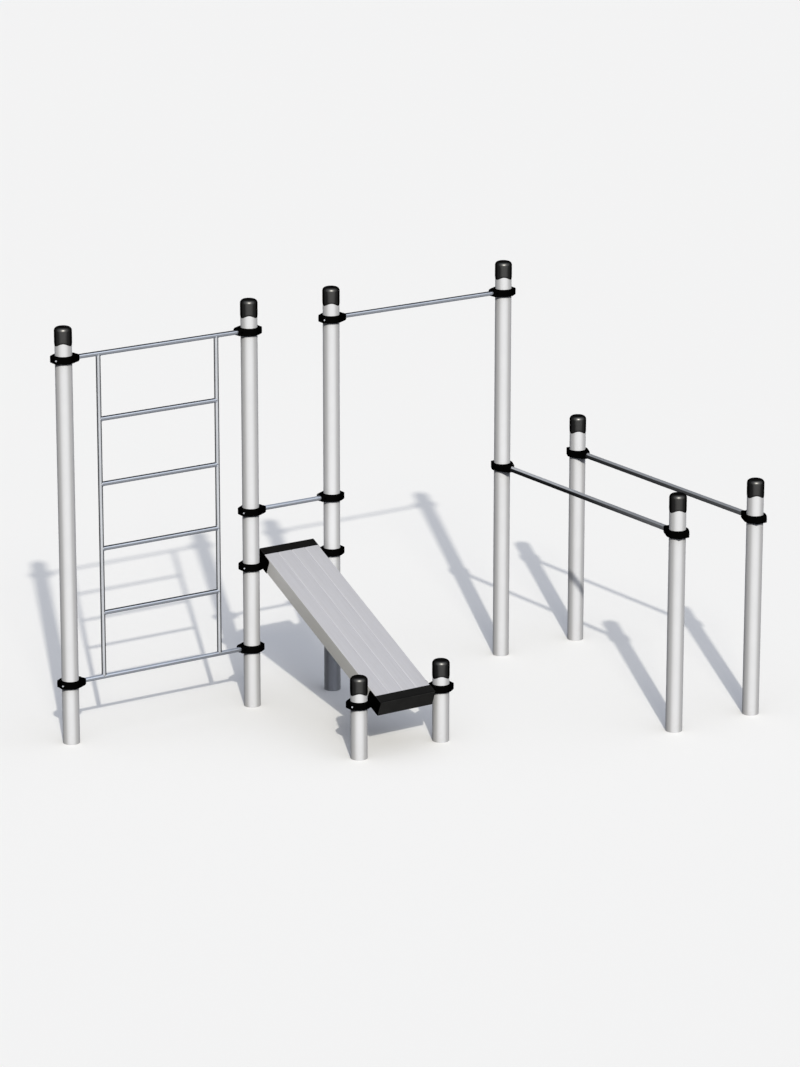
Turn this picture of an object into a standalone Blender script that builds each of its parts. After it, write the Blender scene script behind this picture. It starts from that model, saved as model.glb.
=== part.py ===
"""Calisthenics station: nine capped posts joined by clamped bars, a ladder and a sloping bench.

Seen from the front, the back row runs from left to right: ladder, bench, pull-up bar and parallel bars.
X points along that row, Y to the back and Z up. The origin is on the ground, at the middle of the
station's bounding box. All lengths are in metres.
"""

import math
from collections import namedtuple

import bmesh
import bpy
from mathutils import Matrix, Vector

# Distances between the axes of the posts
LADDER_BAY = 1.350
BENCH_BAY = 0.620
PULL_UP_BAY = 1.350
PARALLEL_BAY = 0.620
PARALLEL_LENGTH = 1.925
BENCH_LENGTH = 1.262

# Heights of the bars' axes above the ground
PULL_UP_HEIGHT = 2.502
LADDER_FOOT_HEIGHT = 0.395
LINK_HEIGHT = 1.315
PARALLEL_HEIGHT = 1.315
BENCH_DROP = 0.369
BENCH_FOOT_HEIGHT = 0.357

# Bare post between its highest clamp and the lowest point of its cap
TALL_NECK = 0.063
PARALLEL_NECK = 0.114
BENCH_NECK = 0.039

# The gap between pieces that touch, and how far a cut runs past what it cuts
FIT = 0.0003
OVERRUN = 0.010

# Posts: round tubes
POST_DIAMETER = 0.108
POST_WALL = 0.003
POST_SIDES = 24

# Post caps: a skirt with a wavy lower edge, under a dome with a rounded rim
CAP_WALL = 0.0017
CAP_SKIRT = 0.1135
CAP_WAVE = 0.009
CAP_LOBES = 3
CAP_RIM_RADIUS = 0.025
CAP_CROWN = 0.004
CAP_SHELF = 0.008
CAP_ROOF = 0.008
CAP_RIM_STEPS = 3
CAP_TOP_SHARE = 0.25

# Bars: round tubes
BAR_DIAMETER = 0.030
BAR_WALL = 0.0025
PARALLEL_BAR_DIAMETER = 0.038
PARALLEL_BAR_WALL = 0.003
BAR_SETBACK = 0.004
BAR_SIDES = 12

# Ladder: stiles and rungs welded between an upper and a lower bar
STILE_INSET = 0.246
RUNG_COUNT = 4

# Clamps: two halves, the body and the cover, around the post and the bar's end
CLAMP_WALL = 0.0157
CLAMP_SPLIT = 0.002
CLAMP_ROOF = 0.0038
BODY_REACH = 0.047
BODY_CHEEK = 0.006
COVER_REACH = 0.034
COVER_CHEEK = 0.004
EAR_REACH = 0.025
EAR_HALF_WIDTH = 0.030
PARALLEL_BODY_REACH = 0.052
PARALLEL_COVER_REACH = 0.062
PARALLEL_EAR_HALF_WIDTH = 0.035
EAR_CHAMFER = 0.005
BOSS_CHAMFER = 0.013
BOSS_CHAMFER_SHARE = 0.6
BOSS_SCREW_REACH = 0.019
EAR_SCREW_REACH = 0.017
RING_STEPS = 3

# Screws of the clamps: each threads into one half, and its head seats on the other
SCREW_DIAMETER = 0.008
SCREW_PLAY = 0.0005
HEAD_DIAMETER = 0.012
HEAD_HEIGHT = 0.005
POCKET_PLAY = 0.0005
SCREW_SIDES = 8

# Bench board: a hollow plank with shallow grooves along its top
BOARD_RISE = 0.0495
BOARD_DEPTH = 0.097
BOARD_OVER_TOP_BAR = 0.0245
BOARD_OVER_FOOT_BAR = 0.0114
BOARD_SIDE_PLAY = 0.0017
BOARD_EDGE_RADIUS = 0.004
BOARD_ROOF = 0.010
BOARD_WALL = 0.005
WEB_THICKNESS = 0.006
SLAT_COUNT = 4
GROOVE_WIDTH = 0.016
GROOVE_DEPTH = 0.0025
GROOVE_STEPS = 4
EDGE_STEPS = 3

# Bench end caps: a nose beyond the plank, a lip over its end, and cheeks along its sides
TONGUE_LENGTH = 0.025
LIP_THICKNESS = 0.003
CHEEK_THICKNESS = 0.002
CHEEK_LENGTH = 0.068
CHEEK_RADIUS = 0.020
CHEEK_STEPS = 4
NOSE_LENGTH = 0.068
NOSE_DROP = 0.001
NOSE_LEAN = 0.005
NOSE_BEVEL = 0.004
NOSE_WALL = 0.004
NOSE_FLOOR = 0.005

# Colours, roughness and metal of the finishes
PAINTED_STEEL = ((0.80, 0.80, 0.78, 1.0), 0.45, 0.0)
GALVANISED_BAR = ((0.42, 0.44, 0.48, 1.0), 0.35, 0.8)
BLACK_CLAMP = ((0.012, 0.012, 0.013, 1.0), 0.50, 0.0)
BLACK_CAP = ((0.010, 0.010, 0.011, 1.0), 0.30, 0.0)
LIGHT_PLANK = ((0.55, 0.56, 0.60, 1.0), 0.60, 0.0)

# Edges steeper than this stay sharp in the smooth shading
SHARP_ANGLE = math.radians(35)

# Sizes that follow from the ones above
POST_RADIUS = POST_DIAMETER / 2
WIDEST_BAR = max(BAR_DIAMETER, PARALLEL_BAR_DIAMETER)
CLAMP_HEIGHT = WIDEST_BAR + 2 * CLAMP_ROOF
RING_RADIUS = POST_RADIUS + FIT + CLAMP_WALL
EAR_TIP = POST_RADIUS + EAR_REACH
BODY_TIP = POST_RADIUS + BODY_REACH
BODY_HALF_WIDTH = WIDEST_BAR / 2 + BODY_CHEEK
COVER_HALF_WIDTH = WIDEST_BAR / 2 + COVER_CHEEK
BOSS_SCREW = POST_RADIUS + BOSS_SCREW_REACH
EAR_SCREW = POST_RADIUS + EAR_SCREW_REACH
CAP_RADIUS = POST_RADIUS + FIT + CAP_WALL
POST_TOP_DEPTH = CAP_CROWN + CAP_RIM_RADIUS
BENCH_TOP_HEIGHT = LINK_HEIGHT - BENCH_DROP
BOARD_WIDTH = BENCH_BAY - 2 * (BODY_TIP + BOARD_SIDE_PLAY + CHEEK_THICKNESS + FIT)
BENCH_SLOPE = math.atan2(BENCH_TOP_HEIGHT - BENCH_FOOT_HEIGHT, BENCH_LENGTH)
BENCH_SPAN = math.hypot(BENCH_TOP_HEIGHT - BENCH_FOOT_HEIGHT, BENCH_LENGTH)
END_CAP_DEPTH = BOARD_DEPTH + FIT + NOSE_FLOOR
BENCH_BACK = (
    math.cos(BENCH_SLOPE) * (BOARD_OVER_TOP_BAR + NOSE_LENGTH + NOSE_LEAN)
    + math.sin(BENCH_SLOPE) * (END_CAP_DEPTH - BOARD_RISE)
)

# The posts of the back row, counted from its left end, and the middle of the station from there
ROW = [
    0.0,
    LADDER_BAY,
    LADDER_BAY + BENCH_BAY,
    LADDER_BAY + BENCH_BAY + PULL_UP_BAY,
    LADDER_BAY + BENCH_BAY + PULL_UP_BAY + PARALLEL_BAY,
]
MIDDLE_X = (ROW[4] + RING_RADIUS - EAR_TIP) / 2
MIDDLE_Y = (max(EAR_TIP, BENCH_BACK) - PARALLEL_LENGTH - EAR_TIP) / 2

Post = namedtuple("Post", "name x y top_clamp neck")
Clamp = namedtuple("Clamp", "bar_diameter body_tip cover_tip ear_half_width")
Grip = namedtuple("Grip", "name post height turn flipped clamp")


def post(name, x, y, top_clamp, neck):
    """A post whose place is given from the left end of the back row."""
    return Post(name, x - MIDDLE_X, y - MIDDLE_Y, top_clamp, neck)


LADDER_LEFT = post("tall_post_1", ROW[0], 0.0, PULL_UP_HEIGHT, TALL_NECK)
LADDER_RIGHT = post("tall_post_2", ROW[1], 0.0, PULL_UP_HEIGHT, TALL_NECK)
PULL_UP_LEFT = post("tall_post_3", ROW[2], 0.0, PULL_UP_HEIGHT, TALL_NECK)
PULL_UP_RIGHT = post("tall_post_4", ROW[3], 0.0, PULL_UP_HEIGHT, TALL_NECK)
PARALLEL_BACK = post("parallel_post_1", ROW[4], 0.0, PARALLEL_HEIGHT, PARALLEL_NECK)
PARALLEL_LEFT = post("parallel_post_2", ROW[3], -PARALLEL_LENGTH, PARALLEL_HEIGHT, PARALLEL_NECK)
PARALLEL_RIGHT = post("parallel_post_3", ROW[4], -PARALLEL_LENGTH, PARALLEL_HEIGHT, PARALLEL_NECK)
BENCH_LEFT = post("bench_post_1", ROW[1], -BENCH_LENGTH, BENCH_FOOT_HEIGHT, BENCH_NECK)
BENCH_RIGHT = post("bench_post_2", ROW[2], -BENCH_LENGTH, BENCH_FOOT_HEIGHT, BENCH_NECK)

POSTS = [
    LADDER_LEFT, LADDER_RIGHT, PULL_UP_LEFT, PULL_UP_RIGHT, PARALLEL_BACK,
    PARALLEL_LEFT, PARALLEL_RIGHT, BENCH_LEFT, BENCH_RIGHT,
]

# The two sizes of clamp, for the thin bars and for the parallel bars
THIN_CLAMP = Clamp(BAR_DIAMETER, BODY_TIP, POST_RADIUS + COVER_REACH, EAR_HALF_WIDTH)
THICK_CLAMP = Clamp(PARALLEL_BAR_DIAMETER, POST_RADIUS + PARALLEL_BODY_REACH,
                    POST_RADIUS + PARALLEL_COVER_REACH, PARALLEL_EAR_HALF_WIDTH)

# Each clamp's post, height, and the way its bar leaves it: turned about Z, and for two also turned over
GRIPS = [
    Grip("ladder_top_left", LADDER_LEFT, PULL_UP_HEIGHT, 0, False, THIN_CLAMP),
    Grip("ladder_top_right", LADDER_RIGHT, PULL_UP_HEIGHT, 180, False, THIN_CLAMP),
    Grip("ladder_foot_left", LADDER_LEFT, LADDER_FOOT_HEIGHT, 0, False, THIN_CLAMP),
    Grip("ladder_foot_right", LADDER_RIGHT, LADDER_FOOT_HEIGHT, 180, False, THIN_CLAMP),
    Grip("link_left", LADDER_RIGHT, LINK_HEIGHT, 0, False, THIN_CLAMP),
    Grip("link_right", PULL_UP_LEFT, LINK_HEIGHT, 180, False, THIN_CLAMP),
    Grip("bench_top_left", LADDER_RIGHT, BENCH_TOP_HEIGHT, 0, False, THIN_CLAMP),
    Grip("bench_top_right", PULL_UP_LEFT, BENCH_TOP_HEIGHT, 180, False, THIN_CLAMP),
    Grip("bench_foot_left", BENCH_LEFT, BENCH_FOOT_HEIGHT, 0, False, THIN_CLAMP),
    Grip("bench_foot_right", BENCH_RIGHT, BENCH_FOOT_HEIGHT, 180, False, THIN_CLAMP),
    Grip("pull_up_left", PULL_UP_LEFT, PULL_UP_HEIGHT, 0, False, THIN_CLAMP),
    Grip("pull_up_right", PULL_UP_RIGHT, PULL_UP_HEIGHT, 180, False, THIN_CLAMP),
    Grip("parallel_left_back", PULL_UP_RIGHT, PARALLEL_HEIGHT, -90, True, THICK_CLAMP),
    Grip("parallel_right_back", PARALLEL_BACK, PARALLEL_HEIGHT, -90, True, THICK_CLAMP),
    Grip("parallel_left_front", PARALLEL_LEFT, PARALLEL_HEIGHT, 90, False, THICK_CLAMP),
    Grip("parallel_right_front", PARALLEL_RIGHT, PARALLEL_HEIGHT, 90, False, THICK_CLAMP),
]


def clear_scene():
    for old in list(bpy.data.objects):
        bpy.data.objects.remove(old)


def smoothed(mesh):
    """Shades a mesh smooth, apart from its sharp edges."""
    mesh.shade_smooth()
    mesh.set_sharp_from_angle(angle=SHARP_ANGLE)
    return mesh


def link_object(name, mesh, matrix):
    """Puts a mesh into the scene as an object."""
    piece = bpy.data.objects.new(name, mesh)
    bpy.context.scene.collection.objects.link(piece)
    piece.matrix_world = matrix
    return piece


def closed_object(name, bm, matrix):
    """Turns a closed bmesh into an object with its faces pointing outwards."""
    bmesh.ops.recalc_face_normals(bm, faces=bm.faces)
    mesh = bpy.data.meshes.new(name)
    bm.to_mesh(mesh)
    bm.free()
    return link_object(name, smoothed(mesh), matrix)


def turned(name, profile_at, sides, phase=0.0, hollow=False, matrix=Matrix()):
    """A body turned about Z from (radius, height) points, which may change with the angle.

    A hollow body's profile closes on itself, and a full one is capped at its first and last point.
    """
    bm = bmesh.new()
    columns = []
    for step in range(sides):
        angle = phase + math.tau * step / sides
        column = []
        for radius, height in profile_at(angle):
            column.append(bm.verts.new((radius * math.cos(angle), radius * math.sin(angle), height)))
        columns.append(column)
    bands = len(columns[0]) if hollow else len(columns[0]) - 1
    for step in range(sides):
        here = columns[step]
        there = columns[(step + 1) % sides]
        for low in range(bands):
            high = (low + 1) % len(here)
            bm.faces.new((here[low], there[low], there[high], here[high]))
    if not hollow:
        bm.faces.new([column[0] for column in columns])
        bm.faces.new([column[-1] for column in columns])
    return closed_object(name, bm, matrix)


def along(start, end):
    """The matrix that lays a body turned about Z from start towards end."""
    direction = Vector(end) - Vector(start)
    return Matrix.Translation(start) @ direction.to_track_quat("Z", "Y").to_matrix().to_4x4()


def rod(name, start, end, radius, sides, phase=0.0):
    """A full cylinder between two points."""
    length = (Vector(end) - Vector(start)).length
    return turned(name, lambda angle: [(radius, 0.0), (radius, length)], sides, phase,
                  matrix=along(start, end))


def tube(name, start, end, radius, wall, sides, phase=0.0):
    """An open tube between two points."""
    length = (Vector(end) - Vector(start)).length
    inner = radius - wall
    profile = [(radius, 0.0), (radius, length), (inner, length), (inner, 0.0)]
    return turned(name, lambda angle: profile, sides, phase, hollow=True, matrix=along(start, end))


def bar_rod(name, start, end, radius):
    """A full bar with flats at its sides, top and bottom."""
    return rod(name, start, end, radius, BAR_SIDES, math.pi / BAR_SIDES)


def prism(name, outline, low, high, place, matrix=Matrix()):
    """An outline of (a, b) points drawn out from low to high, where place gives the point of (a, b, c)."""
    bm = bmesh.new()
    near = [bm.verts.new(place(a, b, low)) for a, b in outline]
    far = [bm.verts.new(place(a, b, high)) for a, b in outline]
    bm.faces.new(near)
    bm.faces.new(far)
    for index in range(len(outline)):
        following = (index + 1) % len(outline)
        bm.faces.new((near[index], near[following], far[following], far[index]))
    return closed_object(name, bm, matrix)


def from_above(a, b, c):
    return (a, b, c)


def from_the_side(a, b, c):
    return (c, a, b)


def from_the_front(a, b, c):
    return (a, c, b)


def box(name, low, high, matrix=Matrix()):
    """A box between two corners."""
    outline = [(low[0], low[1]), (high[0], low[1]), (high[0], high[1]), (low[0], high[1])]
    return prism(name, outline, low[2], high[2], from_above, matrix)


def arc(centre, radius, start, end, steps):
    """Points from one angle to another, both included."""
    points = []
    for step in range(steps + 1):
        angle = start + (end - start) * step / steps
        points.append((centre[0] + radius * math.cos(angle), centre[1] + radius * math.sin(angle)))
    return points


def work(piece, tools, operation):
    """Joins, cuts or trims a piece with each tool in turn, and leaves only the piece."""
    for tool in tools:
        tool.hide_render = True
        tool.display_type = "WIRE"
        modifier = piece.modifiers.new(tool.name, "BOOLEAN")
        modifier.object = tool
        modifier.operation = operation
        modifier.solver = "EXACT"
    bpy.context.view_layer.update()
    worked = piece.evaluated_get(bpy.context.evaluated_depsgraph_get())
    mesh = bpy.data.meshes.new_from_object(worked)
    piece.modifiers.clear()
    piece.data = smoothed(mesh)
    for tool in tools:
        bpy.data.objects.remove(tool)
    return piece


def finish(piece, surface):
    """Gives a piece its own material."""
    colour, roughness, metallic = surface
    material = bpy.data.materials.new(piece.name)
    material.use_nodes = True
    shader = material.node_tree.nodes["Principled BSDF"]
    shader.inputs["Base Color"].default_value = colour
    shader.inputs["Roughness"].default_value = roughness
    shader.inputs["Metallic"].default_value = metallic
    material.diffuse_color = colour
    piece.data.materials.clear()
    piece.data.materials.append(material)
    return piece


def post_height(site):
    """The top of a post's cap: above the highest clamp come the bare neck and the cap."""
    return site.top_clamp + CLAMP_HEIGHT / 2 + site.neck + CAP_WAVE + CAP_SKIRT


def make_post(site):
    """A tube from the ground to the shelf inside its cap."""
    top = post_height(site) - POST_TOP_DEPTH - FIT
    body = tube(site.name, (site.x, site.y, 0.0), (site.x, site.y, top), POST_RADIUS, POST_WALL, POST_SIDES)
    return finish(body, PAINTED_STEEL)


def make_post_cap(site):
    """A moulded cap whose skirt slides over the post and whose shelf rests on the post's top."""
    bore = POST_RADIUS + FIT
    shelf = bore - CAP_SHELF
    rim_centre = CAP_RADIUS - CAP_RIM_RADIUS
    rim = arc((rim_centre, -POST_TOP_DEPTH), CAP_RIM_RADIUS, 0.0, math.pi / 2, CAP_RIM_STEPS)

    def profile(angle):
        edge = -CAP_SKIRT + CAP_WAVE * math.cos(CAP_LOBES * angle)
        inside = [(rim_centre, -CAP_ROOF), (shelf, -POST_TOP_DEPTH), (bore, -POST_TOP_DEPTH), (bore, edge)]
        return inside + [(CAP_RADIUS, edge)] + rim + [(rim_centre * CAP_TOP_SHARE, 0.0)]

    place = Matrix.Translation((site.x, site.y, post_height(site)))
    return finish(turned(site.name + "_cap", profile, POST_SIDES, matrix=place), BLACK_CAP)


def tangent_angle(corner, way):
    """The angle on the clamp's ring where a straight side from the corner meets it."""
    distance = math.hypot(*corner)
    return math.atan2(corner[1], corner[0]) + way * math.acos(RING_RADIUS / distance)


def clamp_outline(side, tip, half_width, ear_half_width):
    """One half of a clamp from above: from the bar's end, round the ring, to the ear."""
    split = CLAMP_SPLIT / 2
    boss = (tip, half_width)
    ear = (-EAR_TIP, ear_half_width)
    leaves = arc((0.0, 0.0), RING_RADIUS, tangent_angle(boss, 1), math.pi / 2, RING_STEPS)
    meets = arc((0.0, 0.0), RING_RADIUS, math.pi / 2, tangent_angle(ear, -1), RING_STEPS)
    points = [(tip, split), boss] + leaves + meets[1:] + [ear, (-EAR_TIP, split)]
    return [(x, side * y) for x, y in points]


def clamp_side_profile(clamp):
    """The clamp from its side: full height, lower at the tip of its longer boss and at the ear's tip."""
    half = CLAMP_HEIGHT / 2
    boss_half = half - (CLAMP_HEIGHT - clamp.bar_diameter) / 2 * BOSS_CHAMFER_SHARE
    tip = max(clamp.body_tip, clamp.cover_tip)
    upper = [
        (tip + OVERRUN, boss_half),
        (tip, boss_half),
        (tip - BOSS_CHAMFER, half),
        (EAR_CHAMFER - EAR_TIP, half),
        (-EAR_TIP, half - EAR_CHAMFER),
        (-EAR_TIP - OVERRUN, half - EAR_CHAMFER),
    ]
    return upper + [(x, -z) for x, z in reversed(upper)]


def screw_tools(x, seat, side):
    """The hole and the head's pocket of a screw that passes through the half on this side."""
    hole = rod("hole", (x, -side * OVERRUN, 0.0), (x, side * (seat + OVERRUN), 0.0),
               SCREW_DIAMETER / 2 + SCREW_PLAY, SCREW_SIDES, math.pi / SCREW_SIDES)
    pocket = rod("pocket", (x, side * seat, 0.0), (x, side * (RING_RADIUS + OVERRUN), 0.0),
                 HEAD_DIAMETER / 2 + POCKET_PLAY, SCREW_SIDES, math.pi / SCREW_SIDES)
    return [hole, pocket]


def screw_bodies(x, thread, seat, side):
    """A screw threaded into the half on this side, with its head on the other half's seat."""
    under_head = -side * (seat + FIT)
    head_top = -side * (seat + FIT + HEAD_HEIGHT)
    shank = rod("shank", (x, side * thread, 0.0), (x, under_head - side * HEAD_HEIGHT / 2, 0.0),
                SCREW_DIAMETER / 2, SCREW_SIDES, math.pi / SCREW_SIDES)
    head = rod("head", (x, under_head, 0.0), (x, head_top, 0.0),
               HEAD_DIAMETER / 2, SCREW_SIDES, math.pi / SCREW_SIDES)
    return [shank, head]


def clamp_half_mesh(side, clamp):
    """The mesh of the body, on side -1 along Y, or of the cover, on side 1, with the bar along +X."""
    tip = clamp.body_tip if side < 0 else clamp.cover_tip
    half_width = BODY_HALF_WIDTH if side < 0 else COVER_HALF_WIDTH
    half = CLAMP_HEIGHT / 2
    outline = clamp_outline(side, tip, half_width, clamp.ear_half_width)
    piece = prism("clamp", outline, -half, half, from_above)
    reach = EAR_TIP + tip
    trim = prism("trim", clamp_side_profile(clamp), -reach, reach, from_the_front)
    work(piece, [trim], "INTERSECT")
    bore = rod("bore", (0.0, 0.0, -CLAMP_HEIGHT), (0.0, 0.0, CLAMP_HEIGHT), POST_RADIUS + FIT, POST_SIDES)
    channel = bar_rod("channel", (0.0, 0.0, 0.0), (tip + OVERRUN, 0.0, 0.0), clamp.bar_diameter / 2 + FIT)
    if side < 0:
        passing = screw_tools(-EAR_SCREW, clamp.ear_half_width, side)
        threaded = screw_bodies(BOSS_SCREW, BODY_HALF_WIDTH, COVER_HALF_WIDTH, side)
    else:
        passing = screw_tools(BOSS_SCREW, COVER_HALF_WIDTH, side)
        threaded = screw_bodies(-EAR_SCREW, clamp.ear_half_width, clamp.ear_half_width, side)
    work(piece, [bore, channel] + passing, "DIFFERENCE")
    work(piece, threaded, "UNION")
    mesh = piece.data
    bpy.data.objects.remove(piece)
    return mesh


def make_clamps():
    """Two halves for each grip."""
    halves = {}
    for clamp in (THIN_CLAMP, THICK_CLAMP):
        halves[clamp] = (clamp_half_mesh(-1, clamp), clamp_half_mesh(1, clamp))
    for grip in GRIPS:
        place = Matrix.Translation((grip.post.x, grip.post.y, grip.height))
        place = place @ Matrix.Rotation(math.radians(grip.turn), 4, "Z")
        if grip.flipped:
            place = place @ Matrix.Rotation(math.pi, 4, "X")
        for part, mesh in zip(("body", "cover"), halves[grip.clamp]):
            finish(link_object(grip.name + "_clamp_" + part, mesh.copy(), place), BLACK_CLAMP)


def screw_hole(centre, axis, bar_diameter):
    """The tool for the hole where a clamp's screw crosses a bar."""
    reach = Vector(axis) * (bar_diameter / 2 + OVERRUN)
    return rod("cross hole", Vector(centre) - reach, Vector(centre) + reach,
               SCREW_DIAMETER / 2 + SCREW_PLAY, SCREW_SIDES, math.pi / SCREW_SIDES)


def bar_between(name, start, end, height, diameter, wall):
    """A tube whose ends stop short of two posts, with a cross hole for the screw of each clamp."""
    first = Vector((start.x, start.y, height))
    last = Vector((end.x, end.y, height))
    direction = (last - first).normalized()
    setback = direction * (POST_RADIUS + BAR_SETBACK)
    body = tube(name, first + setback, last - setback, diameter / 2, wall, BAR_SIDES, math.pi / BAR_SIDES)
    across = direction.cross(Vector((0.0, 0.0, 1.0)))
    screw = direction * BOSS_SCREW
    holes = [screw_hole(first + screw, across, diameter), screw_hole(last - screw, across, diameter)]
    return finish(work(body, holes, "DIFFERENCE"), GALVANISED_BAR)


def make_ladder():
    """Two bars between the ladder's posts, two stiles between the bars, and the rungs between them."""
    left = LADDER_LEFT.x
    right = LADDER_RIGHT.x
    y = LADDER_LEFT.y
    left_stile = left + STILE_INSET
    right_stile = right - STILE_INSET
    setback = POST_RADIUS + BAR_SETBACK
    step = (PULL_UP_HEIGHT - LADDER_FOOT_HEIGHT) / (RUNG_COUNT + 1)

    def members(radius, end_run):
        """The ladder's bars at one radius, where end_run lengthens the two that the clamps hold."""
        rods = []
        for height in (PULL_UP_HEIGHT, LADDER_FOOT_HEIGHT):
            start = (left + setback - end_run, y, height)
            end = (right - setback + end_run, y, height)
            rods.append(bar_rod("bar", start, end, radius))
        for x in (left_stile, right_stile):
            rods.append(bar_rod("stile", (x, y, LADDER_FOOT_HEIGHT), (x, y, PULL_UP_HEIGHT), radius))
        for count in range(1, RUNG_COUNT + 1):
            height = LADDER_FOOT_HEIGHT + count * step
            rods.append(bar_rod("rung", (left_stile, y, height), (right_stile, y, height), radius))
        return rods

    outer = members(BAR_DIAMETER / 2, 0.0)
    ladder = work(outer[0], outer[1:], "UNION")
    ladder.name = "ladder_frame"
    holes = []
    for height in (PULL_UP_HEIGHT, LADDER_FOOT_HEIGHT):
        for x in (left + BOSS_SCREW, right - BOSS_SCREW):
            holes.append(screw_hole((x, y, height), (0.0, 1.0, 0.0), BAR_DIAMETER))
    work(ladder, members(BAR_DIAMETER / 2 - BAR_WALL, OVERRUN) + holes, "DIFFERENCE")
    return finish(ladder, GALVANISED_BAR)


def bench_matrix():
    """The bench's own frame: at the middle of its top bar, Y up the slope and Z square to the plank."""
    x = (LADDER_RIGHT.x + PULL_UP_LEFT.x) / 2
    origin = Matrix.Translation((x, LADDER_RIGHT.y, BENCH_TOP_HEIGHT))
    return origin @ Matrix.Rotation(BENCH_SLOPE, 4, "X")


def bench_bar_tools():
    """The channels of the two bench bars through the plank and its end caps."""
    tools = []
    for left, right, height in (
        (LADDER_RIGHT, PULL_UP_LEFT, BENCH_TOP_HEIGHT),
        (BENCH_LEFT, BENCH_RIGHT, BENCH_FOOT_HEIGHT),
    ):
        start = (left.x, left.y, height)
        end = (right.x, right.y, height)
        tools.append(bar_rod("channel", start, end, BAR_DIAMETER / 2 + FIT))
    return tools


def board_outline():
    """The plank's outline across, with its top at height zero."""
    half = BOARD_WIDTH / 2
    centre = half - BOARD_EDGE_RADIUS
    points = [(-half, -BOARD_DEPTH), (half, -BOARD_DEPTH)]
    points += arc((centre, -BOARD_EDGE_RADIUS), BOARD_EDGE_RADIUS, 0.0, math.pi / 2, EDGE_STEPS)
    for count in range(SLAT_COUNT - 1, 0, -1):
        groove = BOARD_WIDTH * count / SLAT_COUNT - half
        for step in range(GROOVE_STEPS + 1):
            share = 1 - 2 * step / GROOVE_STEPS
            points.append((groove + share * GROOVE_WIDTH / 2, (share * share - 1) * GROOVE_DEPTH))
    points += arc((-centre, -BOARD_EDGE_RADIUS), BOARD_EDGE_RADIUS, math.pi / 2, math.pi, EDGE_STEPS)
    return points


def make_board():
    """The plank: grooved top, hollow cells, and a tongue at each end under the end cap's lip."""
    top_end = BOARD_OVER_TOP_BAR
    foot_end = -BENCH_SPAN - BOARD_OVER_FOOT_BAR
    half = BOARD_WIDTH / 2
    frame = bench_matrix() @ Matrix.Translation((0.0, 0.0, BOARD_RISE))
    board = prism("bench_board", board_outline(), foot_end - TONGUE_LENGTH, top_end + TONGUE_LENGTH,
                  from_the_front, frame)
    tools = []
    slat = BOARD_WIDTH / SLAT_COUNT
    for count in range(SLAT_COUNT):
        left = slat * count - half + (BOARD_WALL if count == 0 else WEB_THICKNESS / 2)
        right = slat * (count + 1) - half - (BOARD_WALL if count == SLAT_COUNT - 1 else WEB_THICKNESS / 2)
        low = (left, foot_end - TONGUE_LENGTH - OVERRUN, BOARD_WALL - BOARD_DEPTH)
        high = (right, top_end + TONGUE_LENGTH + OVERRUN, -BOARD_ROOF)
        tools.append(box("cell", low, high, frame))
    step = -LIP_THICKNESS - FIT
    tools.append(box("step", (-half - OVERRUN, top_end, step),
                     (half + OVERRUN, top_end + TONGUE_LENGTH + OVERRUN, OVERRUN), frame))
    tools.append(box("step", (-half - OVERRUN, foot_end - TONGUE_LENGTH - OVERRUN, step),
                     (half + OVERRUN, foot_end, OVERRUN), frame))
    work(board, tools + bench_bar_tools(), "DIFFERENCE")
    return finish(board, LIGHT_PLANK)


def bevel_nose(cap, half):
    """Cuts the nose's two front corners, wide at the top and running out at the bottom."""
    bm = bmesh.new()
    bm.from_mesh(cap.data)
    fall = NOSE_DROP / NOSE_LENGTH
    for side in (-1, 1):
        ridge = Vector((side * (half - NOSE_BEVEL), NOSE_LENGTH, -NOSE_DROP))
        shoulder = Vector((side * half, NOSE_LENGTH - NOSE_BEVEL, -fall * (NOSE_LENGTH - NOSE_BEVEL)))
        foot = Vector((side * half, NOSE_LENGTH + NOSE_LEAN, -END_CAP_DEPTH))
        outwards = (shoulder - ridge).cross(foot - ridge)
        if outwards.y < 0:
            outwards.negate()
        parts = bm.verts[:] + bm.edges[:] + bm.faces[:]
        bmesh.ops.bisect_plane(bm, geom=parts, plane_co=ridge, plane_no=outwards, clear_outer=True)
        open_edges = [edge for edge in bm.edges if edge.is_boundary]
        bmesh.ops.holes_fill(bm, edges=open_edges, sides=0)
    bmesh.ops.recalc_face_normals(bm, faces=bm.faces)
    bm.to_mesh(cap.data)
    bm.free()


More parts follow.
